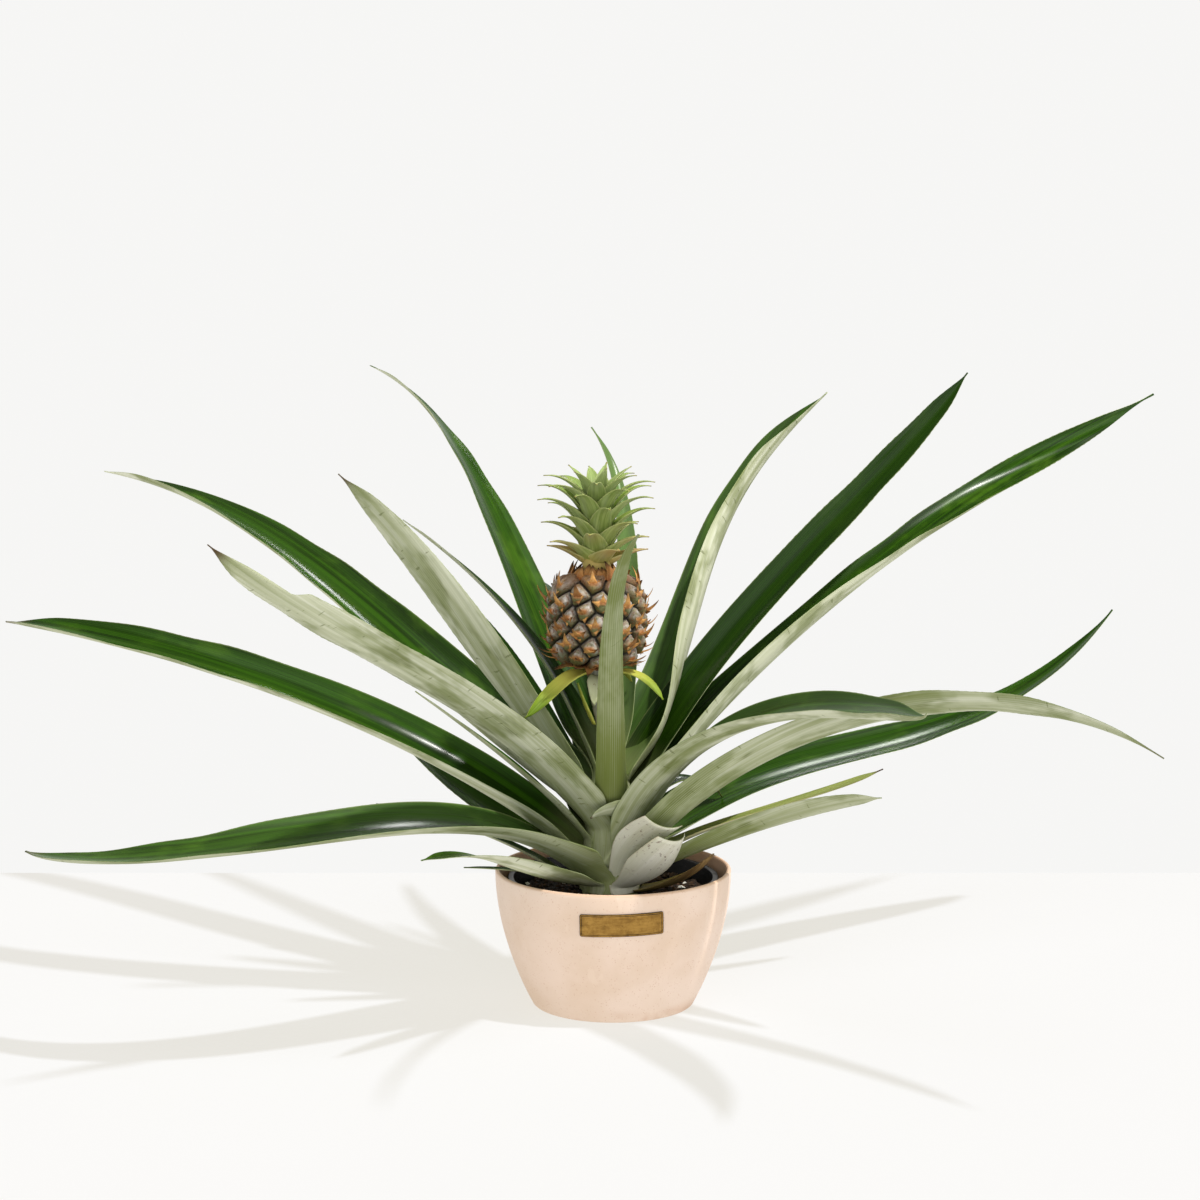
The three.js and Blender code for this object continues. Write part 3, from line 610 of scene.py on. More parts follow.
stem_heights = np.linspace(STEM_PROFILE[0, 0], STALK_TOP, 180)
narrowing = smooth((stem_heights - STALK_START) / STALK_NECK)
stem_radii = stem_radius(stem_heights) * (1 - narrowing) + STALK_RADIUS * narrowing
scars = np.abs(((stem_heights - SCAR_START) / SCAR_PITCH) % 1 - 0.5) * 2
stem_radii = stem_radii - SCAR_DEPTH * scars ** 6
stem_centres = np.stack([*stalk_centre(stem_heights), stem_heights], -1)
ribs = 1 + STEM_RIB_DEPTH * np.sin(STEM_RIBS * np.linspace(0, 2 * np.pi, STEM_SIDES, endpoint=False))
stem = add_mesh("stem_and_stalk", *round_bar(stem_centres, stem_radii[:, None] * ribs, STEM_SIDES))
stalk = Finish("stem_skin", IOR=1.4)
place = stalk.place()
height = stalk.part(place, "Z")
fibres = stalk.noise(stalk.stretch(place, (900, 900, 60)), 1.0, 3, 0.6)
mottle = stalk.noise(place, 240, 4, 0.6)
colour = stalk.layers(
    "#8a945e",
    (height.ramp(0.10, 0.16), "#7c8a52"),
    (height.ramp(0.150, 0.185), "#8f8f80"),
    (mottle.ramp(0.50, 0.68) * 0.6, "#5d5a4a"),
    (fibres.ramp(0.45, 0.7) * 0.4, "#c4c2b0"),
    (mottle.ramp(0.66, 0.72) * height.ramp(0.20, 0.22), "#5b3a22"),
)
stem.data.materials.append(stalk.surface(
    Base_Color=colour,
    Roughness=0.6 + mottle * 0.2,
    Normal=stalk.bump(fibres * 0.6 + mottle * 0.4, 0.0005, 0.7),
))
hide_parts("stem")

# Leaves
# Stiff channelled blades that clasp the stem one above another. Their upper face is glossy dark
# green; the underside is covered in a fine grey-white scurf, rubbed through to olive in streaks.

BASE_THICKNESS = 0.0016
BLADE_THICKNESS = 0.0008
BASE_THICKENING = 0.040
NECK_LENGTH = 0.035
NECK_WIDTH = 0.6
WIDEST = 0.2
TIP_HALF_WIDTH = 0.0006
CHANNEL_ANGLE = 43
SHEATH_LENGTH = 0.030
SHEATH_ROWS = 10
SHEATH_DEPTH = 0.026
SHEATH_CLEARANCE = 0.0007
SHEATH_LIMIT = 1.25
SHEATH_CLOSING = 0.012
SHEATH_NARROWING = 0.2
TIP_FLATTENING = 0.4
TIP_STRETCH = 0.1
FOLD_SHARE = 0.35
MARGIN_THINNING = 0.55
TEAR_SHARE = 0.03
WAVE_HEIGHT = 0.0006
WAVE_FULL_WIDTH = 0.04
WAVE_START = 0.08
WAVE_LENGTH = 0.021
WAVE_DRIFT_LENGTH = 0.05
STEM_CLEARANCE = 0.0004
TOOTH_PITCH = 0.0066
TOOTH_LENGTH = 0.0004
TOOTH_FIRST_SHARE = 0.25
TOOTH_GROWING_SHARE = 0.3
ROW_LENGTH = 0.0022
FEWEST_ROWS = 24
BLADE_COLUMNS = 17
PATH_STEPS = 60
GOLDEN_SHARE = 0.618

# Azimuth and height are where the leaf leaves the stem, and length is its centreline's. Rise is the
# angle above level at its base, middle and tip; swing is how far its middle and tip turn sideways,
# and twist how far they roll about its own length. It narrows by the power taper. Channel is half the
# angle that it bends through across, and fold adds to that along it. Inset moves its base into the
# stem, and below is how far it clasps down the stem. Point is the share of the length that comes to
# a point, end is where the leaf is cut, and torn gives a side, the start of a tear and the width
# left. Dry browns the tip and worn rubs the underside bare. The last setting, painted light and
# shade, lightens the upper face above 0 as a painted highlight and darkens it below 0 as painted
# shade.
LEAVES = {
    "long_leaf_left": dict(azimuth=173.9, height=0.1019, length=0.491, rise=(38.2, 16.3, -1.4),
        swing=(2.4, -36.5), twist=(-28.9, -1.5), width=0.057, taper=0.31, channel=68.2, inset=-0.0001,
        dry=0.6, painted_light_and_shade=0.05),
    "high_leaf_left": dict(azimuth=146.1, height=0.1338, length=0.567, rise=(28.1, 30, 6.3),
        swing=(-24.9, 3.6), twist=(-24.8, 20), width=0.062, taper=0.45, channel=70, inset=-0.0001,
        painted_light_and_shade=0.15),
    "torn_leaf_left": dict(azimuth=228.5, height=0.1269, length=0.412, rise=(49.1, 16.1, 36.6),
        swing=(0.6, -2.9), twist=(18.6, 44.5), width=0.046, taper=0.4, channel=40.8, inset=0.00024,
        torn=(1, 0.80, 0.45), dry=1.0, worn=0.15),
    "broad_leaf_left": dict(azimuth=187.4, height=0.1416, length=0.291, rise=(54.1, 63, 44.4),
        swing=(7.5, 7.5), twist=(67.1, 40.4), width=0.043, taper=0.48, channel=38, inset=-0.0001,
        dry=0.9, worn=0.25),
    "tallest_leaf": dict(azimuth=120.5, height=0.1624, length=0.482, rise=(42.3, 48.2, 10.2),
        swing=(-12.3, 4.9), twist=(22.1, 46.5), width=0.042, taper=0.57, channel=41.8, inset=0.0005,
        painted_light_and_shade=0.1),
    "narrow_leaf_left": dict(azimuth=159.6, height=0.167, length=0.225, rise=(71.1, 45.5, 32),
        swing=(3.9, 0.9), twist=(6.3, 31.1), width=0.034, taper=0.57, channel=36.6, inset=0.00034,
        painted_light_and_shade=-0.5),
    "back_leaf_left": dict(azimuth=119.8, height=0.108, length=0.332, rise=(47.6, 37.9, 7.3),
        swing=(1.2, 4.6), twist=(4.9, 4.3), width=0.028, taper=0.6, channel=50.5, inset=0.00039),
    "drooping_leaf_left": dict(azimuth=217, height=0.0891, length=0.444, rise=(40.9, -25.6, 1.5),
        swing=(17.5, -89.8), twist=(-19.7, 4.4), width=0.067, taper=0.46, channel=49.2, inset=0.0005,
        dry=0.5, worn=0.35, painted_light_and_shade=0.25),
    "low_leaf_left": dict(azimuth=139.1, height=0.0984, length=0.214, rise=(11.1, 23.4, 47.2),
        swing=(18.5, 18.1), twist=(-52.3, 41.9), width=0.038, taper=0.62, channel=42.9, inset=-0.0001,
        dry=0.9, painted_light_and_shade=-0.5),
    "cut_leaf_left": dict(azimuth=178, height=0.083, length=0.172, rise=(34.2, 20.3, 6.8),
        swing=(2.5, 3), twist=(-2.8, -1.4), width=0.014, taper=0.6, channel=46.4, inset=-0.0001,
        end=0.9),
    "under_leaf_left": dict(azimuth=200, height=0.119, length=0.165, rise=(50, 38, 38), swing=(0, 0),
        twist=(-10, 0), width=0.024, taper=0.6),
    "basal_leaf_left": dict(azimuth=232, height=0.087, length=0.192, rise=(12, 36, 0), swing=(5, 0),
        twist=(45, -37), width=0.03, taper=0.6),
    "rim_leaf_left": dict(azimuth=200.5, height=0.0858, length=0.089, rise=(19.5, 11.5, 5.3),
        swing=(-0.5, -0.8), twist=(1, 0), width=0.012, taper=0.6, channel=42.8, inset=0.0005),
    "front_leaf": dict(azimuth=271.5, height=0.1336, length=0.385, rise=(52, 41, 21), swing=(-6, 9),
        twist=(47, 14), width=0.022, taper=0.53, below=0.008, worn=0.85),
    "back_leaf": dict(azimuth=76, height=0.1715, length=0.262, rise=(56.4, 78.8, 39.8),
        swing=(1.1, 54.9), twist=(-2.5, 11.8), width=0.023, taper=0.6, channel=54.8, inset=0.00005,
        painted_light_and_shade=0.8),
    "back_leaf_low": dict(azimuth=99.7, height=0.1142, length=0.331, rise=(51.8, 29, 0),
        swing=(3.1, 0.5), twist=(-0.9, 0), width=0.034, taper=0.6, channel=42.1, inset=-0.0001),
    "back_leaf_right": dict(azimuth=71.6, height=0.1051, length=0.297, rise=(48.8, 20.9, -15.8),
        swing=(5.1, 4.1), twist=(-6, 0.4), width=0.032, taper=0.6, channel=45.7, inset=-0.0001),
    "folded_leaf_right": dict(azimuth=44.3, height=0.1589, length=0.3806, rise=(37.4, 44.6, 43.4),
        swing=(68.3, -39.2), twist=(-115.5, 14.4), width=0.0675, taper=0.27, channel=52.7, fold=37,
        inset=0.0005, point=0.22, painted_light_and_shade=0.3),
    "straight_leaf_right": dict(azimuth=38, height=0.144, length=0.426, rise=(56, 28, 43),
        swing=(-7, -1), twist=(17, 30), width=0.041, taper=0.43, painted_light_and_shade=-0.8),
    "long_leaf_right": dict(azimuth=28.8, height=0.1331, length=0.588, rise=(45.3, 18.6, 19.8),
        swing=(16.2, 4.6), twist=(-77.5, 117.9), width=0.063, taper=0.78, channel=64.9, inset=-0.00008,
        painted_light_and_shade=-0.1),
    "front_leaf_right": dict(azimuth=-42.8, height=0.1064, length=0.418, rise=(71.7, -18.7, 18.3),
        swing=(-3.3, -48.5), twist=(34.9, -11.6), width=0.053, taper=0.24, channel=68.4, inset=-0.0001,
        point=0.4, worn=0.2, painted_light_and_shade=0.3),
    "folded_tip": dict(azimuth=311.3, height=0.1233, length=0.053, rise=(80.6, 17.9, -34.7),
        swing=(-104.6, -118.8), twist=(90.3, 37.2), width=0.021, taper=0.49, neck=0.012, channel=38.5,
        inset=0.00031, below=0.0, dry=0.8),
    "arching_leaf_right": dict(azimuth=-40.1, height=0.102, length=0.463, rise=(48.7, 17.5, -14.8),
        swing=(16.1, -19.9), twist=(-55.3, -39.7), width=0.039, taper=0.56, channel=45, inset=-0.0001,
        dry=0.4, worn=0.35),
    "twisted_leaf_right": dict(azimuth=37.3, height=0.1001, length=0.485, rise=(32.3, -32.8, 52.7),
        swing=(7.8, -23.4), twist=(37.1, -12.5), width=0.051, taper=0.47, channel=38.6, inset=-0.00009,
        painted_light_and_shade=0.05),
    "brown_leaf_right": dict(azimuth=24, height=0.097, length=0.203, rise=(23, 4, 17), swing=(-4, 2),
        twist=(-30, 34), width=0.02, taper=0.56, dry=1.0),
    "low_leaf_right": dict(azimuth=-14.7, height=0.0901, length=0.204, rise=(26.3, 29.7, 11),
        swing=(-27.6, -22.2), twist=(-36.2, -53.1), width=0.033, taper=0.5, channel=41.1, inset=0.0005,
        worn=0.4),
    "bent_leaf_right": dict(azimuth=36.5, height=0.119, length=0.1, rise=(67.7, 14.1, -52.4),
        swing=(-0.9, -1.3), twist=(-0.2, 2.2), width=0.024, taper=0.6, channel=42.5, inset=0.00025,
        worn=1.0),
    "withered_sheath": dict(azimuth=-20.8, height=0.0808, length=0.067, rise=(9, 22.3, 56.7),
        swing=(-5.2, -5.4), twist=(-1.4, -2.1), width=0.03, taper=0.6, channel=65.2, inset=0.00031),
    "cut_sheath_high": dict(azimuth=298.3, height=0.0958, length=0.099, rise=(65.8, 15.1, 28.7),
        swing=(25.6, -12), twist=(-52.6, 8.8), width=0.037, taper=0.2, channel=47.2, inset=0.00042,
        end=0.62),
    "cut_sheath_low": dict(azimuth=306, height=0.0859, length=0.105, rise=(20.8, 65.1, 49.9),
        swing=(6.6, 61.8), twist=(-57.1, 49.6), width=0.042, taper=0.27, channel=58.8, inset=0.00013,
        end=0.6),
}


def quadratic(first, middle, last, u):
    """A smooth change along the leaf: three numbers weighted by (1-u)^2, 2u(1-u) and u^2."""
    return (1 - u) ** 2 * first + 2 * u * (1 - u) * middle + u ** 2 * last


def leaf_direction(leaf, u):
    """The centreline's unit direction, from its angle above level and its azimuth."""
    rise = np.radians(quadratic(*leaf["rise"], u))
    azimuth = np.radians(leaf["azimuth"] + quadratic(0, *leaf.get("swing", (0, 0)), u))
    level = np.cos(rise)
    return around(level, azimuth, np.sin(rise)), azimuth


def leaf_surface(leaf, rows, columns, wave=0.0, teeth=0.0):
    """The two faces of a leaf as a grid along it (u) and across it (v, from -1 to 1).

    The centreline is the sum of its directions. The section is an arc that opens from a clasping
    sheath to a channel, as wide as the width times a power of the distance left to the tip. Each
    face lies half the thickness off that arc. The margin waves and carries small teeth, and may be
    torn away in part. Rows below the base, if any, hug the stem and close in on it.
    """
    end = leaf.get("end", 1.0)
    length = leaf["length"]
    start = leaf.get("start", (STEM_X, 0.0))
    beside = leaf.get("reach", stem_radius(leaf["height"]) + BASE_THICKNESS / 2 + STEM_CLEARANCE)
    reach = beside - leaf.get("inset", 0.0)
    below = leaf.get("below", 0.0)
    fine = np.linspace(0, end, PATH_STEPS + 1)
    heading, _ = leaf_direction(leaf, fine)
    first = np.radians(leaf["azimuth"])
    root = around(reach, first, leaf["height"]) + [*start, 0]
    steps = 0.5 * (heading[1:] + heading[:-1]) * length * end / PATH_STEPS
    path = np.vstack([root, root + np.cumsum(steps, 0)])
    drop = np.arange(SHEATH_ROWS, 0, -1) * below / SHEATH_ROWS if below else np.zeros(0)
    u = np.concatenate([0 * drop, np.linspace(0, end, rows - len(drop))])
    centre = np.stack([np.interp(u, fine, path[:, k]) for k in range(3)], -1)
    along, azimuth = leaf_direction(leaf, u)
    roll = np.radians(quadratic(0, *leaf.get("twist", (0, 0)), u))[:, None]
    level = np.stack([-np.sin(azimuth), np.cos(azimuth), 0 * azimuth], -1)
    face = np.cross(along, level)
    across = level * np.cos(roll) + face * np.sin(roll)
    up = np.cross(along, across)
    s = u * length
    widening = NECK_WIDTH + (1 - NECK_WIDTH) * smooth(s / leaf.get("neck", NECK_LENGTH))
    taper = ((1 - u) / (1 - WIDEST)) ** leaf["taper"]
    point = 1 - (1 - np.clip((1 - u) / leaf.get("point", TIP_STRETCH), 0, 1)) ** 2
    half = np.maximum(leaf["width"] / 2 * taper * widening * point, TIP_HALF_WIDTH)
    base_half = leaf["width"] / 2 * NECK_WIDTH / (1 - WIDEST) ** leaf["taper"]
    sheath = min(base_half / reach, SHEATH_LIMIT)
    folded = leaf.get("fold", 0.0) * smooth(u / FOLD_SHARE)
    channel = np.radians(leaf.get("channel", CHANNEL_ANGLE) + folded)
    open_out = channel + (sheath - channel) * np.exp(-(s / SHEATH_LENGTH) ** 2)
    bend = (open_out * (1 - TIP_FLATTENING * u))[:, None]
    v = np.sin(np.pi / 2 * np.linspace(-1, 1, columns))[None, :]
    angle = bend * v
    thick = BLADE_THICKNESS + (BASE_THICKNESS - BLADE_THICKNESS) * np.exp(-(s / BASE_THICKENING) ** 2)
    thick = leaf.get("thickness", 1.0) * thick[:, None] * (1 - MARGIN_THINNING * v ** 6)
    half = half[:, None] * np.ones_like(v)
    side = np.sign(v)
    if "torn" in leaf:
        edge, begin, left = leaf["torn"]
        missing = smooth((u[:, None] - begin) / TEAR_SHARE) * (side == edge)
        half = half * (1 - (1 - left) * missing)
    saw = ((s[:, None] / TOOTH_PITCH + 0.5 * (side > 0)) % 1) ** 2
    grown = smooth((u[:, None] - TOOTH_FIRST_SHARE) / TOOTH_GROWING_SHARE) * smooth(half / 0.012)
    tooth = teeth * saw * grown * (np.abs(v) > 0.995)
    x = half * np.sin(angle) / bend + side * tooth
    y = half * (1 - np.cos(angle)) / bend
    phase = np.radians(leaf["azimuth"]) * 3
    y = y + wave * np.abs(v) ** 3 * smooth(s / WAVE_START)[:, None] * np.sin(
        s[:, None] / WAVE_LENGTH + phase + 1.7 * side + 2 * np.sin(s[:, None] / WAVE_DRIFT_LENGTH))
    middle = centre[:, None] + across[:, None] * x[..., None] + up[:, None] * y[..., None]
    normal = up[:, None] * np.cos(angle)[..., None] - across[:, None] * np.sin(angle)[..., None]
    if below:
        z = leaf["height"] - drop[:, None] + y[len(drop)] * along[0, 2] ** 2 * (1 - drop[:, None] / below)
        hug = reach + (stem_radius(z) + SHEATH_CLEARANCE - reach) * smooth(drop[:, None] / SHEATH_CLOSING)
        turn = first + sheath * (1 - SHEATH_NARROWING * (drop[:, None] / below) ** 2) * v
        out = around(1.0, turn, 0.0)
        middle[:len(drop)] = np.array([STEM_X, 0, 0]) + out * hug[..., None]
        middle[:len(drop), :, 2] = z
        normal[:len(drop)] = -out
        thick[:len(drop)] = np.minimum(thick[:len(drop)], BLADE_THICKNESS)
    offset = normal * (thick / 2)[..., None]
    points = np.stack([middle + offset, middle - offset]).reshape(-1, 3)
    grid = np.ones((2, rows, columns))
    marks = {
        "side": grid * np.array([1.0, 0.0])[:, None, None],
        "across": grid * v[None],
        "along": grid * u[None, :, None],
        "reach": grid * (s - np.concatenate([drop, np.zeros(rows - len(drop))]))[None, :, None],
        "spread": grid * half[None],
    }
    return points, marks


def add_leaf(name, leaf, material, node, wave=WAVE_HEIGHT):
    """One leaf as its own piece, fine enough for its teeth, in place of its node."""
    rows = max(FEWEST_ROWS, int(leaf["length"] * leaf.get("end", 1.0) / ROW_LENGTH))
    wave = wave * min(1, leaf["width"] / WAVE_FULL_WIDTH)
    points, marks = leaf_surface(leaf, rows, BLADE_COLUMNS, wave, TOOTH_LENGTH)
    piece = add_mesh(name, points, sheet_faces(rows, BLADE_COLUMNS))
    for mark, values in marks.items():
        set_attribute(piece, mark, values)
    # Each leaf's tone, dryness, wear and painted light and shade, the same at all its points.
    for mark in ("tone", "dry", "worn", "painted_light_and_shade"):
        set_attribute(piece, mark, np.full(len(points), leaf.get(mark, 0.0)))
    piece.data.materials.append(material)
    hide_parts(node)


def blade_finish(name, upper, lower, base, margin, tip, scurf=1.0, spots=0.0, gloss=0.16, yellowing=0.0):
    """A two-sided leaf finish. Each face has a dark and a light colour mixed in streaks along it.

    The base, the margin and the tip take their own colours, and brown spots may lie over all.
    Yellowing carries the base's colour out along the blade. Patterns are noise on the distances
    across and along the blade, which the leaf's own attributes give.
    """
    blade = Finish(name, IOR=1.45, Specular_IOR_Level=0.14)
    side = blade.attribute("side").ramp(0.3, 0.7)
    across, along, reach = blade.attributes("across", "along", "reach")
    tone, painted_light_and_shade, worn = blade.attributes("tone", "painted_light_and_shade", "worn")
    width = across * blade.attribute("spread")
    margins = across.size()
    streaks = blade.noise(blade.join(width * 900, reach * 9, tone * 31 + side * 5), 0.35, 4, 0.62)
    broad = blade.noise(blade.join(width * 150, reach * 9, tone * 17 + side * 7), 0.7, 3, 0.55)
    patches = blade.noise(blade.join(width * 60, reach * 22, tone * 9 + side * 3), 0.8, 3, 0.6)
    veins = (width * 4200 + streaks * 2.2).sine() * 0.5 + 0.5
    rubbing = blade.noise(blade.join(width * 170, reach * 22, tone * 13), 0.8, 3, 0.62)
    rubbed = rubbing.ramp(0.52, 0.66) * (0.45 + worn) * along.ramp(0.82, 0.45)
    scrapes = blade.join(width * 90 + reach * 25, reach * 300, tone * 5)
    scraped = blade.noise(scrapes, 1.0, 2).ramp(0.68, 0.72)
    # The underside turns olive where it is worn bare, and also towards the base.
    olive_share = worn * (0.55 + patches * 0.6) + reach.ramp(0.17, 0.03) * 0.26
    keel = margins.ramp(0.16, 0.0)
    green = blade.layers(
        upper[0],
        (streaks.ramp(0.36, 0.70), upper[1]),
        (broad.ramp(0.40, 0.70) * 0.45, upper[1]),
        (patches.ramp(0.52, 0.74) * (0.25 + tone * 0.35), upper[2]),
        (keel * 0.20, upper[2]),
        # Painted light and shade per leaf: a painted highlight above 0, painted shade below 0.
        (painted_light_and_shade.ramp(0.0, 1.0) * (0.45 + broad * 0.8), upper[3]),
        (painted_light_and_shade.ramp(0.0, -1.0) * 0.85, upper[0]),
        (veins.ramp(0.7, 1.0) * 0.10, upper[2]),
    )
    grey = blade.layers(
        lower[0],
        (broad.ramp(0.30, 0.68), lower[1]),
        (streaks.ramp(0.42, 0.70) * 0.6, lower[2]),
        (patches.ramp(0.46, 0.62) * 0.62 * scurf, lower[3]),
        (rubbed * patches.ramp(0.36, 0.58) * 0.8 * scurf, lower[4]),
        (scraped * 0.6 * scurf, lower[4]),
        (olive_share.ramp(0.0, 1.0), lower[3]),
        (keel * 0.30, lower[3]),
        (veins.ramp(0.62, 1.0) * broad.ramp(0.35, 0.65) * 0.2, lower[2]),
    )
    coats = [
        (side, green),
        (reach.ramp(0.050, 0.004) * 0.45, base),
        (along.ramp(0.75, 0.15) * yellowing, base),
        (margins.ramp(0.955, 0.99) * along.ramp(1.0, 0.9) * 0.3, margin),
        (along.ramp(0.945, 0.985) * blade.attribute("dry"), tip),
    ]
    if spots:
        blots = blade.noise(blade.join(width * 420, reach * 300, tone * 7), 1.0, 3, 0.6).ramp(0.60, 0.68)
        coats.append((blots * along.ramp(0.05, 0.5) * spots, "#6b4526"))
    glossy = gloss + broad * 0.14 + margins.ramp(0.60, 0.90) * 0.3
    return blade.surface(
        Base_Color=blade.layers(grey, *coats),
        Roughness=(0.60 + rubbed * 0.06) * (1 - side) + glossy * side,
        Normal=blade.bump(broad, 0.0003, 0.2),
    )


green_blade = blade_finish(
    "green_leaf",
    upper=("#122803", "#2b5009", "#53791c", "#68824a"),
    lower=("#a0a67e", "#cdd0b2", "#e6e7d4", "#717c3e", "#525a24"),
    base="#98a066", margin="#8f9d60", tip="#57452c")
cream_sheath = blade_finish(
    "cut_sheath",
    upper=("#7f8c4e", "#a2aa70", "#bdc088", "#bdc088"),
    lower=("#d6d6c0", "#e8e6d6", "#f2f0e4", "#cbc6a6", "#a0956c"),
    base="#d8d9c2", margin="#a8875a", tip="#8f7446", scurf=0.5, spots=0.6, gloss=0.4)
dry_blade = blade_finish(
    "withered_leaf",
    upper=("#9c8343", "#c4b06e", "#d6c88e", "#d6c88e"),
    lower=("#5f4a2c", "#84683e", "#a98d5c", "#4d3822", "#3a2716"),
    base="#8f8a4e", margin="#4d3018", tip="#3d2412", spots=0.5, gloss=0.5)
olive_blade = blade_finish(
    "ageing_leaf",
    upper=("#5f6b30", "#848d4c", "#a3a768", "#a3a768"),
    lower=("#8f9263", "#b0b18a", "#c9c8a6", "#7d7a44", "#5f5228"),
    base="#a3a468", margin="#a08a58", tip="#3a2416", spots=0.3, gloss=0.4)

LEAF_FINISHES = {
    "withered_sheath": (dry_blade, "dry_leaf"),
    "cut_sheath_high": (cream_sheath, "leaf"),
    "cut_sheath_low": (cream_sheath, "leaf"),
    "brown_leaf_right": (olive_blade, "dry_leaf"),
}
for number, (name, leaf) in enumerate(LEAVES.items()):
    material, leaf_slot = LEAF_FINISHES.get(name, (green_blade, "leaf"))
    leaf["tone"] = (number * GOLDEN_SHARE) % 1
    leaf.setdefault("below", float(np.clip(leaf["height"] - SOIL_TOP - 0.001, 0, SHEATH_DEPTH)))
    add_leaf(name + "_blade", leaf, material, name)

# Bracts under the fruit
# Thin soft yellow-green leaves that grow from the top of the stalk and hang outward as the fruit
# swells. A dry cream one hangs in front, and a narrow one stands against the stalk below them.

BRACT_CLEARANCE = 0.0017
BRACT_WAVE = 0.002
BRACTS = {
    "yellow_bract_left": dict(azimuth=216.6, height=0.234, length=0.062, rise=(2.5, -53.4, -23.7),
        swing=(-8.9, 16.7), twist=(-14.7, -73.2), width=0.0159, taper=0.67, channel=27.5, inset=0.0009),
    "yellow_bract_right": dict(azimuth=-15, height=0.233, length=0.049, rise=(18, -20, -54),
        swing=(-19, -23), twist=(-5, 49), width=0.0115, taper=0.6, channel=26, inset=0.0009),
    "yellow_bract_back": dict(azimuth=48, height=0.233, length=0.032, rise=(10, -20, -50), width=0.012,
        inset=0.0009),
    "cream_bract": dict(azimuth=266, height=0.232, length=0.026, rise=(-5, -50, -85), width=0.013),
    "stalk_bract": dict(azimuth=200, height=0.198, length=0.032, rise=(62, 68, 75), width=0.008),
}
yellow_blade = blade_finish(
    "yellow_bract",
    upper=("#587418", "#7f972a", "#a8b448", "#a8b448"),
    lower=("#8b9c30", "#b0b94a", "#cdcf78", "#84962f", "#667c24"),
    base="#e0da66", margin="#b9bd68", tip="#5c742a", scurf=0.4, gloss=0.42, yellowing=0.75)
for number, (name, bract) in enumerate(BRACTS.items()):
    leaf = {"start": stalk_centre(bract["height"]), "reach": STALK_RADIUS + BRACT_CLEARANCE,
            "taper": 0.6, "neck": 0.010, "channel": 35, "tone": (number * GOLDEN_SHARE) % 1, **bract}
    material = cream_sheath if name == "cream_bract" else yellow_blade
    add_leaf(name + "_blade", leaf, material, name, BRACT_WAVE)

# Fruit
# Many small berries grown into one barrel. Each shows as a domed eye in a golden-angle spiral, and
# a dry orange-brown bract with three points up and one down grows out of the middle of each eye.
# A ragged ring of the same papery scales closes the barrel at its top and foot.

FRUIT_RADIUS = 0.032
FRUIT_EYES = 72
EYE_START = 0.07
EYE_SPAN = 0.86
EYE_HEIGHT = 0.0052
EYE_SINK = 0.0024
EYE_SHOULDER = 0.0075
EYE_DRIFT_UP = 0.011
EYE_DRIFT_ROUND = 2.4
EYE_RIDGE_HEIGHT = 0.0007
EYE_RIDGE_WIDTH = 0.0016
SKIN_ROUGHNESS = 0.00025
SKIN_ROWS = 190
SKIN_COLUMNS = 330
GOLDEN_ANGLE = 137.5
FRUIT_HEIGHT = FRUIT_TOP - FRUIT_BOTTOM
FRUIT_AXIS = (FRUIT_X, FRUIT_Y, 0)


def fruit_radius(t):
    """The barrel's radius at a share of its height: radius * (1 - |2t - 1|^3.6)^0.42."""
    return FRUIT_RADIUS * np.clip(1 - np.abs(2 * np.asarray(t) - 1) ** 3.6, 0, 1) ** 0.42


def fruit_arc():
    """Shares of the height and the lengths of the barrel's outline up to them."""
    t = np.linspace(0, 1, 600)
    steps = np.hypot(np.diff(fruit_radius(t)), np.diff(t) * FRUIT_HEIGHT)
    return t, np.concatenate([[0], np.cumsum(steps)])


outline_shares, outline_lengths = fruit_arc()
eye_number = np.arange(FRUIT_EYES)
eye_drift = np.clip(np.random.default_rng(9).normal(0, 1, (2, FRUIT_EYES)), -1.6, 1.6)
eye_share = EYE_START + EYE_SPAN * (eye_number + 0.5) / FRUIT_EYES + EYE_DRIFT_UP * eye_drift[0]
eye_angle = np.radians(GOLDEN_ANGLE * eye_number + EYE_DRIFT_ROUND * eye_drift[1])
eye_length = np.interp(eye_share, outline_shares, outline_lengths)


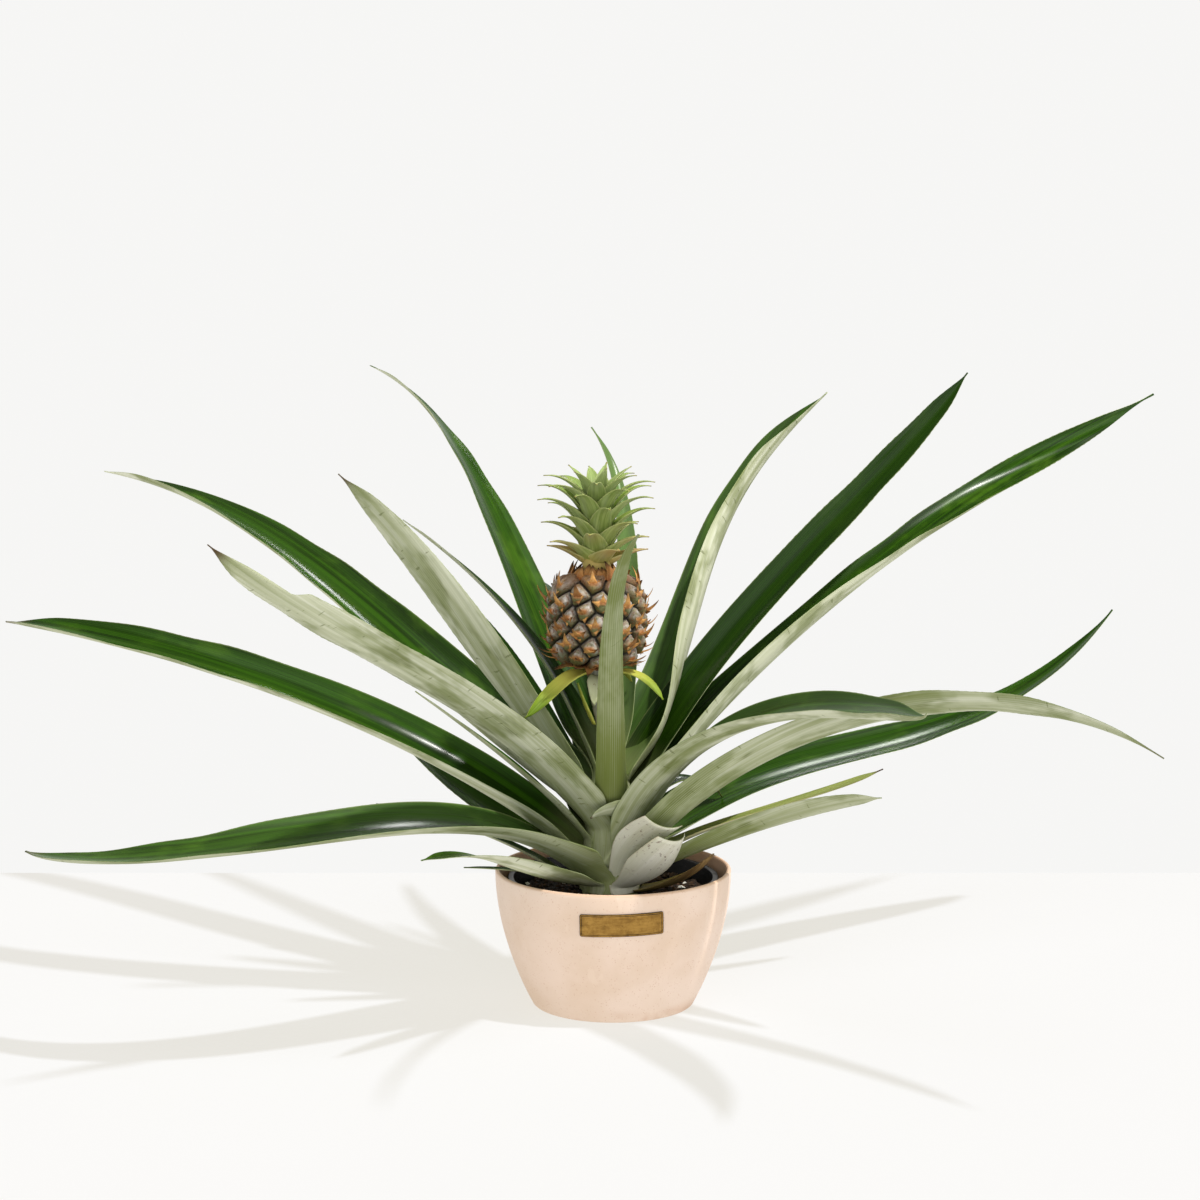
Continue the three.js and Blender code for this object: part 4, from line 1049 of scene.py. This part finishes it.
def fruit_skin(rows, columns):
    """The barrel's outline turned round its axis, pushed out over each eye and in between eyes.

    For each point the nearest eye and the next nearest are found along the skin. The difference of
    the two distances is 0 in a groove, and it sets the dome's height and the point's colours.
    """
    length = np.linspace(outline_lengths[8], outline_lengths[-9], rows)
    t = np.interp(length, outline_lengths, outline_shares)[:, None]
    angle = np.linspace(0, 2 * np.pi, columns, endpoint=False)[None, :]
    radius = fruit_radius(t)
    turn = (angle[..., None] - eye_angle + np.pi) % (2 * np.pi) - np.pi
    sideways = turn * radius[..., None]
    upward = (length[:, None, None] - eye_length) * np.ones_like(sideways)
    distance = np.hypot(sideways * 1.03, upward * 0.94)
    order = np.argsort(distance, -1)

    def of_eye(values, n):
        """Each point's value for its nearest eye (n = 0) or the next nearest (n = 1)."""
        return np.take_along_axis(values, order[..., n:n + 1], -1)[..., 0]

    dome = np.clip((of_eye(distance, 1) - of_eye(distance, 0)) / EYE_SHOULDER, 0, 1)
    rise = EYE_HEIGHT * (1 - (1 - dome) ** 2.0)
    lifted = of_eye(upward, 0)
    rise = rise + EYE_RIDGE_HEIGHT * np.exp(-(lifted / EYE_RIDGE_WIDTH) ** 2) * dome
    uneven = lumps(angle * 0.03 + 0 * t, t * 0.07 + 0 * angle, 5, 12, 900, 3200)
    rise = rise + SKIN_ROUGHNESS * uneven
    ends = smooth((0.5 - np.abs(t - 0.5)) / 0.03)
    out = radius + (rise - EYE_SINK) * ends
    lift = (rise - EYE_SINK) * ends * (2 * t - 1) ** 3 * 0.7
    points = around(out, angle, FRUIT_BOTTOM + FRUIT_HEIGHT * t + lift) + FRUIT_AXIS
    marks = {
        "groove": dome,
        "upward": lifted * 1000,
        "sideways": of_eye(sideways, 0) * 1000,
        "eye": (order[..., 0] * GOLDEN_SHARE) % 1,
        "share": t + 0 * angle,
    }
    return points, marks


points, marks = fruit_skin(SKIN_ROWS, SKIN_COLUMNS)
fruit = add_mesh("fruit_eyes", *tube(points, [points[0].mean(0), points[-1].mean(0)]))
for mark, values in marks.items():
    set_attribute(fruit, mark, np.concatenate([values.ravel(), values[0, :1], values[-1, :1]]))

rind = Finish("pineapple_rind", IOR=1.42)
place = rind.place()
groove, upward, sideways = rind.attributes("groove", "upward", "sideways")
eye, share = rind.attributes("eye", "share")
mottle = rind.noise(place, 520, 4, 0.65)
patch = rind.noise(place, 150, 3, 0.55)
wrinkles = rind.noise(rind.join(sideways * 2.6, upward * 0.8, eye * 40), 1.0, 4, 0.6)
colour = rind.layers(
    "#5c5734",
    (patch.ramp(0.35, 0.65), "#8a8058"),
    (eye.ramp(0.2, 0.9) * 0.55, "#6a4a2c"),
    # Painted highlight: light grey over the upper part of each eye.
    (upward.ramp(0.2, 3.2) * mottle.ramp(0.36, 0.62) * 0.80, "#b9b3ad"),
    # Painted highlight on the side of each eye that faces right from the front.
    (sideways.ramp(0.5, 4.0) * groove * 0.45, "#d3cecc"),
    # Painted shade on the other side of each eye.
    (sideways.ramp(-1.0, -4.5) * 0.45, "#3f3522"),
    # A dark olive over the lower part of each eye: partly its own green, partly painted shade.
    (upward.ramp(-0.6, -3.8) * 0.55, "#4f5a24"),
    (upward.size().ramp(3.0, 0.4) * sideways.size().ramp(4.5, 1.2) * 0.8, "#b3723a"),
    (share.ramp(0.80, 0.97) * 0.8, "#7a5228"),
    (share.ramp(0.14, 0.02) * 0.6, "#7c5a34"),
    # The grooves between the eyes are nearly black: their own dark brown deepened by painted shade.
    (groove.ramp(0.38, 0.06) * 0.94, "#170e08"),
    (groove.ramp(0.24, 0.40) * groove.ramp(0.70, 0.48) * mottle.ramp(0.42, 0.58) * 0.8, "#6b3f1c"),
)
fruit.data.materials.append(rind.surface(
    Base_Color=colour,
    Roughness=0.5 + mottle * 0.25,
    Normal=rind.bump(mottle * 0.5 + wrinkles * 0.5, 0.0007, 0.8),
))
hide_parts("fruit")

SCALE_ROWS = 7
SCALE_COLUMNS = 5
SCALE_POINTS = 2 * SCALE_ROWS * SCALE_COLUMNS
SCALE_THICKNESS = 0.00032
SCALE_CUPPING = 0.28
SPIKE_OUT = 0.0016
SPIKE_DOWN = 0.0024
# Length, width, lift and curl of each point of a bract, and its turn about the eye's middle
SPIKE_SHAPES = [
    ((0.0118, 0.0084, 62, -46), 0),
    ((0.0072, 0.0052, 30, -14), 62),
    ((0.0072, 0.0052, 30, -14), -62),
    ((0.0046, 0.0056, 16, -30), 180),
]
COLLAR_SHAPES = [((0.0115, 0.0125, 46, -22), 0)]


def scale_template(length, width, lift, curl):
    """A small pointed papery scale at the origin, as a grid of points with its two faces.

    It leans out by the lift angle, curls by the curl angle towards its tip, narrows by a power of the
    distance left and is cupped across. x is sideways, y up the fruit and z outward.
    """
    u = np.linspace(0, 1, SCALE_ROWS)[:, None]
    v = np.linspace(-1, 1, SCALE_COLUMNS)[None, :]
    angle = np.radians(lift + curl * u)
    step = length / (SCALE_ROWS - 1)
    y = np.concatenate([[[0]], np.cumsum(np.cos(angle[1:]) * step, 0)]) + 0 * v
    z = np.concatenate([[[0]], np.cumsum(np.sin(angle[1:]) * step, 0)]) + 0 * v
    half = width / 2 * (1 - u) ** 0.75 * (0.75 + 0.25 * np.sin(np.pi * np.minimum(u * 2.2, 1)))
    half = np.maximum(half, 0.00012)
    x = half * v
    z = z - SCALE_CUPPING * half * v ** 2
    thickness = SCALE_THICKNESS * (1 - 0.5 * u) + 0 * v
    upper = np.stack([x, y, z + thickness / 2], -1)
    lower = np.stack([x, y, z - thickness / 2], -1)
    return np.concatenate([upper.reshape(-1, 3), lower.reshape(-1, 3)]), np.tile((u + 0 * v).ravel(), 2)


def plant_scales(name, seats, frames, shapes, seed):
    """Copies of scale templates, each turned to its own frame, in one mesh.

    seats are points, frames are sideways, up and outward unit vectors, and each shape is (template
    settings, sideways turn in degrees). Lengths and leans vary a little from copy to copy.
    """
    chance = np.random.default_rng(seed)
    points, along, shade = [], [], []
    for settings, turn in shapes:
        template, u = scale_template(*settings)
        size = chance.uniform(0.72, 1.32, len(seats))[:, None, None]
        spin = np.radians(turn + chance.uniform(-14, 14, len(seats)))[:, None]
        lean = np.radians(chance.uniform(-16, 18, len(seats)))[:, None]
        x, y, z = (template[None] * size).transpose(2, 0, 1)
        x, y = x * np.cos(spin) - y * np.sin(spin), x * np.sin(spin) + y * np.cos(spin)
        y, z = y * np.cos(lean) - z * np.sin(lean), y * np.sin(lean) + z * np.cos(lean)
        local = np.stack([x, y, z], -1)
        points.append((seats[:, None] + np.einsum("nij,npi->npj", frames, local)).reshape(-1, 3))
        along.append(np.tile(u, len(seats)))
        shade.append(np.repeat(chance.uniform(0, 1, len(seats)), SCALE_POINTS))
    first_points = SCALE_POINTS * np.arange(len(seats) * len(shapes))
    faces = sheet_faces(SCALE_ROWS, SCALE_COLUMNS) + first_points[:, None, None]
    piece = add_mesh(name, np.vstack(points), faces.reshape(-1, 4))
    set_attribute(piece, "along", np.concatenate(along))
    set_attribute(piece, "shade", np.concatenate(shade))
    return piece


def skin_frames(t, angle):
    """Seats on the barrel, and unit vectors sideways, up the outline and outward from it."""
    slope = (fruit_radius(t + 0.01) - fruit_radius(t - 0.01)) / (0.02 * FRUIT_HEIGHT)
    up = around(slope, angle, 1.0)
    up /= np.linalg.norm(up, axis=-1, keepdims=True)
    side = np.stack([-np.sin(angle), np.cos(angle), 0 * angle], -1)
    seat = around(fruit_radius(t), angle, FRUIT_BOTTOM + FRUIT_HEIGHT * t) + FRUIT_AXIS
    return seat, np.stack([side, up, np.cross(side, up)], 1)


seats, frames = skin_frames(eye_share, eye_angle)
seats = seats + frames[:, 2] * SPIKE_OUT - frames[:, 1] * SPIKE_DOWN
spikes = plant_scales("fruit_bracts", seats, frames, SPIKE_SHAPES, 21)
papery = Finish("dry_orange_bract", IOR=1.4)
place = papery.place()
along, shade = papery.attributes("along", "shade")
thread = papery.noise(place, 900, 3, 0.6)
colour = papery.layers(
    "#a35f24",
    (along.ramp(0.0, 0.6), "#cf9750"),
    (thread.ramp(0.45, 0.7) * 0.4, "#e2bf86"),
    (shade.ramp(0.30, 0.90) * 0.65, "#6b3d1a"),
    (along.ramp(0.50, 0.92) * (0.35 + shade * 0.65), "#2f1c0d"),
)
paper = papery.surface(
    Base_Color=colour, Roughness=0.62 + thread * 0.2, Normal=papery.bump(thread, 0.0003, 0.6))
spikes.data.materials.append(paper)

# Each ring of the collars: its scales, its share of the fruit's height and its turn in radians
COLLAR_RINGS = ((22, 0.955, 0.0), (18, 0.985, 0.2), (18, 0.045, 0.0))
collar_t = np.concatenate([np.full(count, t) for count, t, _ in COLLAR_RINGS])
collar_angle = np.concatenate([
    np.arange(count) * 2 * np.pi / count + turn for count, _, turn in COLLAR_RINGS])
seats, frames = skin_frames(collar_t, collar_angle)
collar = plant_scales("dry_collar", seats, frames, COLLAR_SHAPES, 22)
collar_shade = np.repeat(np.random.default_rng(23).uniform(0.55, 1.0, len(collar_t)), SCALE_POINTS)
collar.data.attributes["shade"].data.foreach_set("value", collar_shade.astype(np.float32))
collar.data.materials.append(paper)

# Crown
# A tuft of short broad leaves on a small core, in the same golden-angle spiral. The low ones stand
# out level with yellow bases, and the upper ones rise and curl their tips outward.

CROWN_CORE_RADIUS = 0.010
CROWN_CORE_HEIGHT = 0.036
CROWN_CORE_NARROWING = 0.7
CROWN_CORE_SIDES = 16
CROWN_LEAF_ROOT = 0.003
CROWN_LEAVES = 38
CROWN_TURN = 20
CROWN_ROWS = 22
CROWN_COLUMNS = 11
CROWN_BOTTOM = FRUIT_TOP + TOUCH_GAP


def crown_leaf(k):
    """The settings of one crown leaf, which change smoothly from the lowest to the topmost.

    The lowest stand out nearly level, and the topmost quarter are shorter and stay nearer upright.
    """
    t = (k + 0.5) / CROWN_LEAVES
    low = (1 - t) ** 5
    high = smooth((t - 0.75) / 0.25)
    return {
        "start": (FRUIT_X, FRUIT_Y),
        "reach": CROWN_CORE_RADIUS * (1 - CROWN_CORE_NARROWING * t) - CROWN_LEAF_ROOT,
        "height": CROWN_BOTTOM + CROWN_LEAF_ROOT + (CROWN_CORE_HEIGHT - 2 * CROWN_LEAF_ROOT) * t,
        "azimuth": CROWN_TURN + GOLDEN_ANGLE * k,
        "length": 0.033 + 0.027 * smooth(t / 0.6) - 0.014 * high,
        "rise": (60 + 22 * t - 36 * low, 62 + 12 * t - 36 * low, -12 + 14 * low + 56 * high),
        "width": 0.0215 + 0.0015 * smooth(t / 0.3),
        "taper": 0.90,
        "neck": 0.004,
        "channel": 52,
        "thickness": 0.7,
    }


crown_points, crown_faces, crown_marks = [], [], {}
for k in range(CROWN_LEAVES):
    leaf = crown_leaf(k)
    points, marks = leaf_surface(leaf, CROWN_ROWS, CROWN_COLUMNS)
    marks["tone"] = np.full(len(points), (k * GOLDEN_SHARE) % 1)
    marks["rank"] = np.full(len(points), (k + 0.5) / CROWN_LEAVES)
    crown_faces.append(sheet_faces(CROWN_ROWS, CROWN_COLUMNS) + k * len(points))
    crown_points.append(points)
    for mark, values in marks.items():
        crown_marks.setdefault(mark, []).append(values.ravel())
core_share = np.linspace(0, 1, 9)
core_centres = np.stack([0 * core_share + FRUIT_X, 0 * core_share + FRUIT_Y,
                         CROWN_BOTTOM + CROWN_CORE_HEIGHT * core_share], -1)
core_radii = CROWN_CORE_RADIUS * (1 - CROWN_CORE_NARROWING * core_share ** 2)
core_points, core_faces = round_bar(core_centres, core_radii[:, None], CROWN_CORE_SIDES)
core_start = sum(map(len, crown_points))
crown_faces = np.vstack(crown_faces).tolist()
crown_faces += [[corner + core_start for corner in face] for face in core_faces]
crown = add_mesh("crown_leaves", np.vstack(crown_points + [core_points]), crown_faces)
for mark, values in crown_marks.items():
    set_attribute(crown, mark, np.concatenate(values + [np.zeros(len(core_points))]))

leafy = Finish("crown_leaf", IOR=1.42)
side = leafy.attribute("side").ramp(0.3, 0.7)
across, along, tone, rank = leafy.attributes("across", "along", "tone", "rank")
width = across * leafy.attribute("spread")
lines = leafy.noise(leafy.join(width * 1500, along * 2, tone * 23 + side * 4), 0.6, 3, 0.6)
soft = leafy.noise(leafy.join(width * 200, along * 3, tone * 11), 0.8, 2)
top_green = leafy.mix(lines.ramp(0.35, 0.7), "#6d8630", "#9bb355")
under = leafy.layers(
    "#7a8c44",
    (lines.ramp(0.35, 0.7), "#9cab63"),
    (soft.ramp(0.45, 0.7) * 0.35, "#b3bc90"),
)
colour = leafy.layers(
    under,
    (side, top_green),
    (rank.ramp(0.60, 1.0) * 0.35, "#b4c090"),
    (along.ramp(0.35, 0.0) * 0.6, "#b3b04e"),
    (rank.ramp(0.40, 0.0) * along.ramp(0.20, 0.8) * 0.75, "#b59a62"),
    (rank.ramp(0.12, 0.02) * 0.5, "#b88a55"),
    (across.size().ramp(0.86, 0.98) * 0.45, "#b9b97c"),
    (along.ramp(0.93, 1.0) * 0.5, "#8a6238"),
)
crown.data.materials.append(leafy.surface(
    Base_Color=colour,
    Roughness=0.5 + lines * 0.15,
    Normal=leafy.bump(lines, 0.0003, 0.5),
))
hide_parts("crown")

# Stage, light and camera
# A pale tabletop whose far edge meets a plain white background, a small key light high on the right,
# soft white light all round, and a weak light from behind that shows in gloss only.

TABLE_BACK = 0.379
TABLE_FRONT = -7.0
TABLE_HALF_WIDTH = 9.0
LIGHT_DIRECTION = (-0.43, 0.20, -1.0)

corners = np.array([[-TABLE_HALF_WIDTH, TABLE_FRONT, 0], [TABLE_HALF_WIDTH, TABLE_FRONT, 0],
                    [TABLE_HALF_WIDTH, TABLE_BACK, 0], [-TABLE_HALF_WIDTH, TABLE_BACK, 0]])
table_mesh = bpy.data.meshes.new("table")
table_mesh.from_pydata(corners.tolist(), [], [[0, 1, 2, 3]])
table = bpy.data.objects.new("table", table_mesh)
bpy.context.scene.collection.objects.link(table)
white = Finish("white_tabletop", Emission_Color=(0.712, 0.682, 0.610, 1.0), Emission_Strength=1.0,
               Specular_IOR_Level=0.0)
table.data.materials.append(white.surface(
    Base_Color=white.mix(white.noise(white.place(), 3, 2),
                         (0.170, 0.186, 0.230, 1.0), (0.178, 0.194, 0.240, 1.0)),
    Roughness=0.7 + white.noise(white.place(), 8, 2) * 0.1,
))

# The room is white all round and dim overhead
world = bpy.data.worlds.new("white_room")
bpy.context.scene.world = world
world.use_nodes = True
room = world.node_tree
background = room.nodes["Background"]
background.inputs["Strength"].default_value = 1.0
direction = room.nodes.new("ShaderNodeTexCoord")
upward = room.nodes.new("ShaderNodeSeparateXYZ")
fade = room.nodes.new("ShaderNodeMapRange")
fade.interpolation_type = "SMOOTHSTEP"
fade.inputs["From Min"].default_value = 0.25
fade.inputs["From Max"].default_value = 0.65
tones = room.nodes.new("ShaderNodeMix")
tones.data_type = "RGBA"
tones.inputs[6].default_value = (0.925, 0.922, 0.910, 1.0)
tones.inputs[7].default_value = (0.16, 0.16, 0.16, 1.0)
room.links.new(direction.outputs["Generated"], upward.inputs[0])
room.links.new(upward.outputs[2], fade.inputs["Value"])
room.links.new(fade.outputs[0], tones.inputs[0])
room.links.new(tones.outputs[2], background.inputs["Color"])


def add_sun(name, travels, energy, softness, colour):
    """A distant light that travels in a direction, with its apparent width in degrees."""
    lamp = bpy.data.lights.new(name, "SUN")
    lamp.energy = energy
    lamp.angle = np.radians(softness)
    lamp.color = colour
    holder = bpy.data.objects.new(name, lamp)
    holder.rotation_mode = "QUATERNION"
    holder.rotation_quaternion = Vector(travels).to_track_quat("-Z", "Y")
    bpy.context.scene.collection.objects.link(holder)
    return holder


add_sun("key_light", LIGHT_DIRECTION, 3.0, 2.6, (1.0, 0.98, 0.94))
add_sun("overhead_fill", (0.30, 0.45, -1.0), 0.7, 40, (1.0, 1.0, 1.0))
add_sun("front_fill", (0.15, 1.0, -0.35), 0.6, 60, (1.0, 1.0, 1.0))
add_sun("side_fill", (-1.0, 0.45, -0.2), 0.55, 40, (1.0, 1.0, 1.0))
back_glint = add_sun("back_glint", (-0.15, -0.75, -0.62), 0.32, 7, (1.0, 1.0, 1.0))
back_glint.visible_diffuse = False

CAMERA_PLACE = (-0.0092, -1.938, 0.561)
CAMERA_PITCH = 8.11
camera = bpy.data.cameras.new("camera")
camera.lens = 85
camera.sensor_width = 36
camera.clip_end = 50
camera_object = bpy.data.objects.new("camera", camera)
camera_object.location = CAMERA_PLACE
camera_object.rotation_euler = (np.radians(90 - CAMERA_PITCH), 0, 0)
bpy.context.scene.collection.objects.link(camera_object)
bpy.context.scene.camera = camera_object
bpy.context.scene.view_settings.view_transform = "Standard"
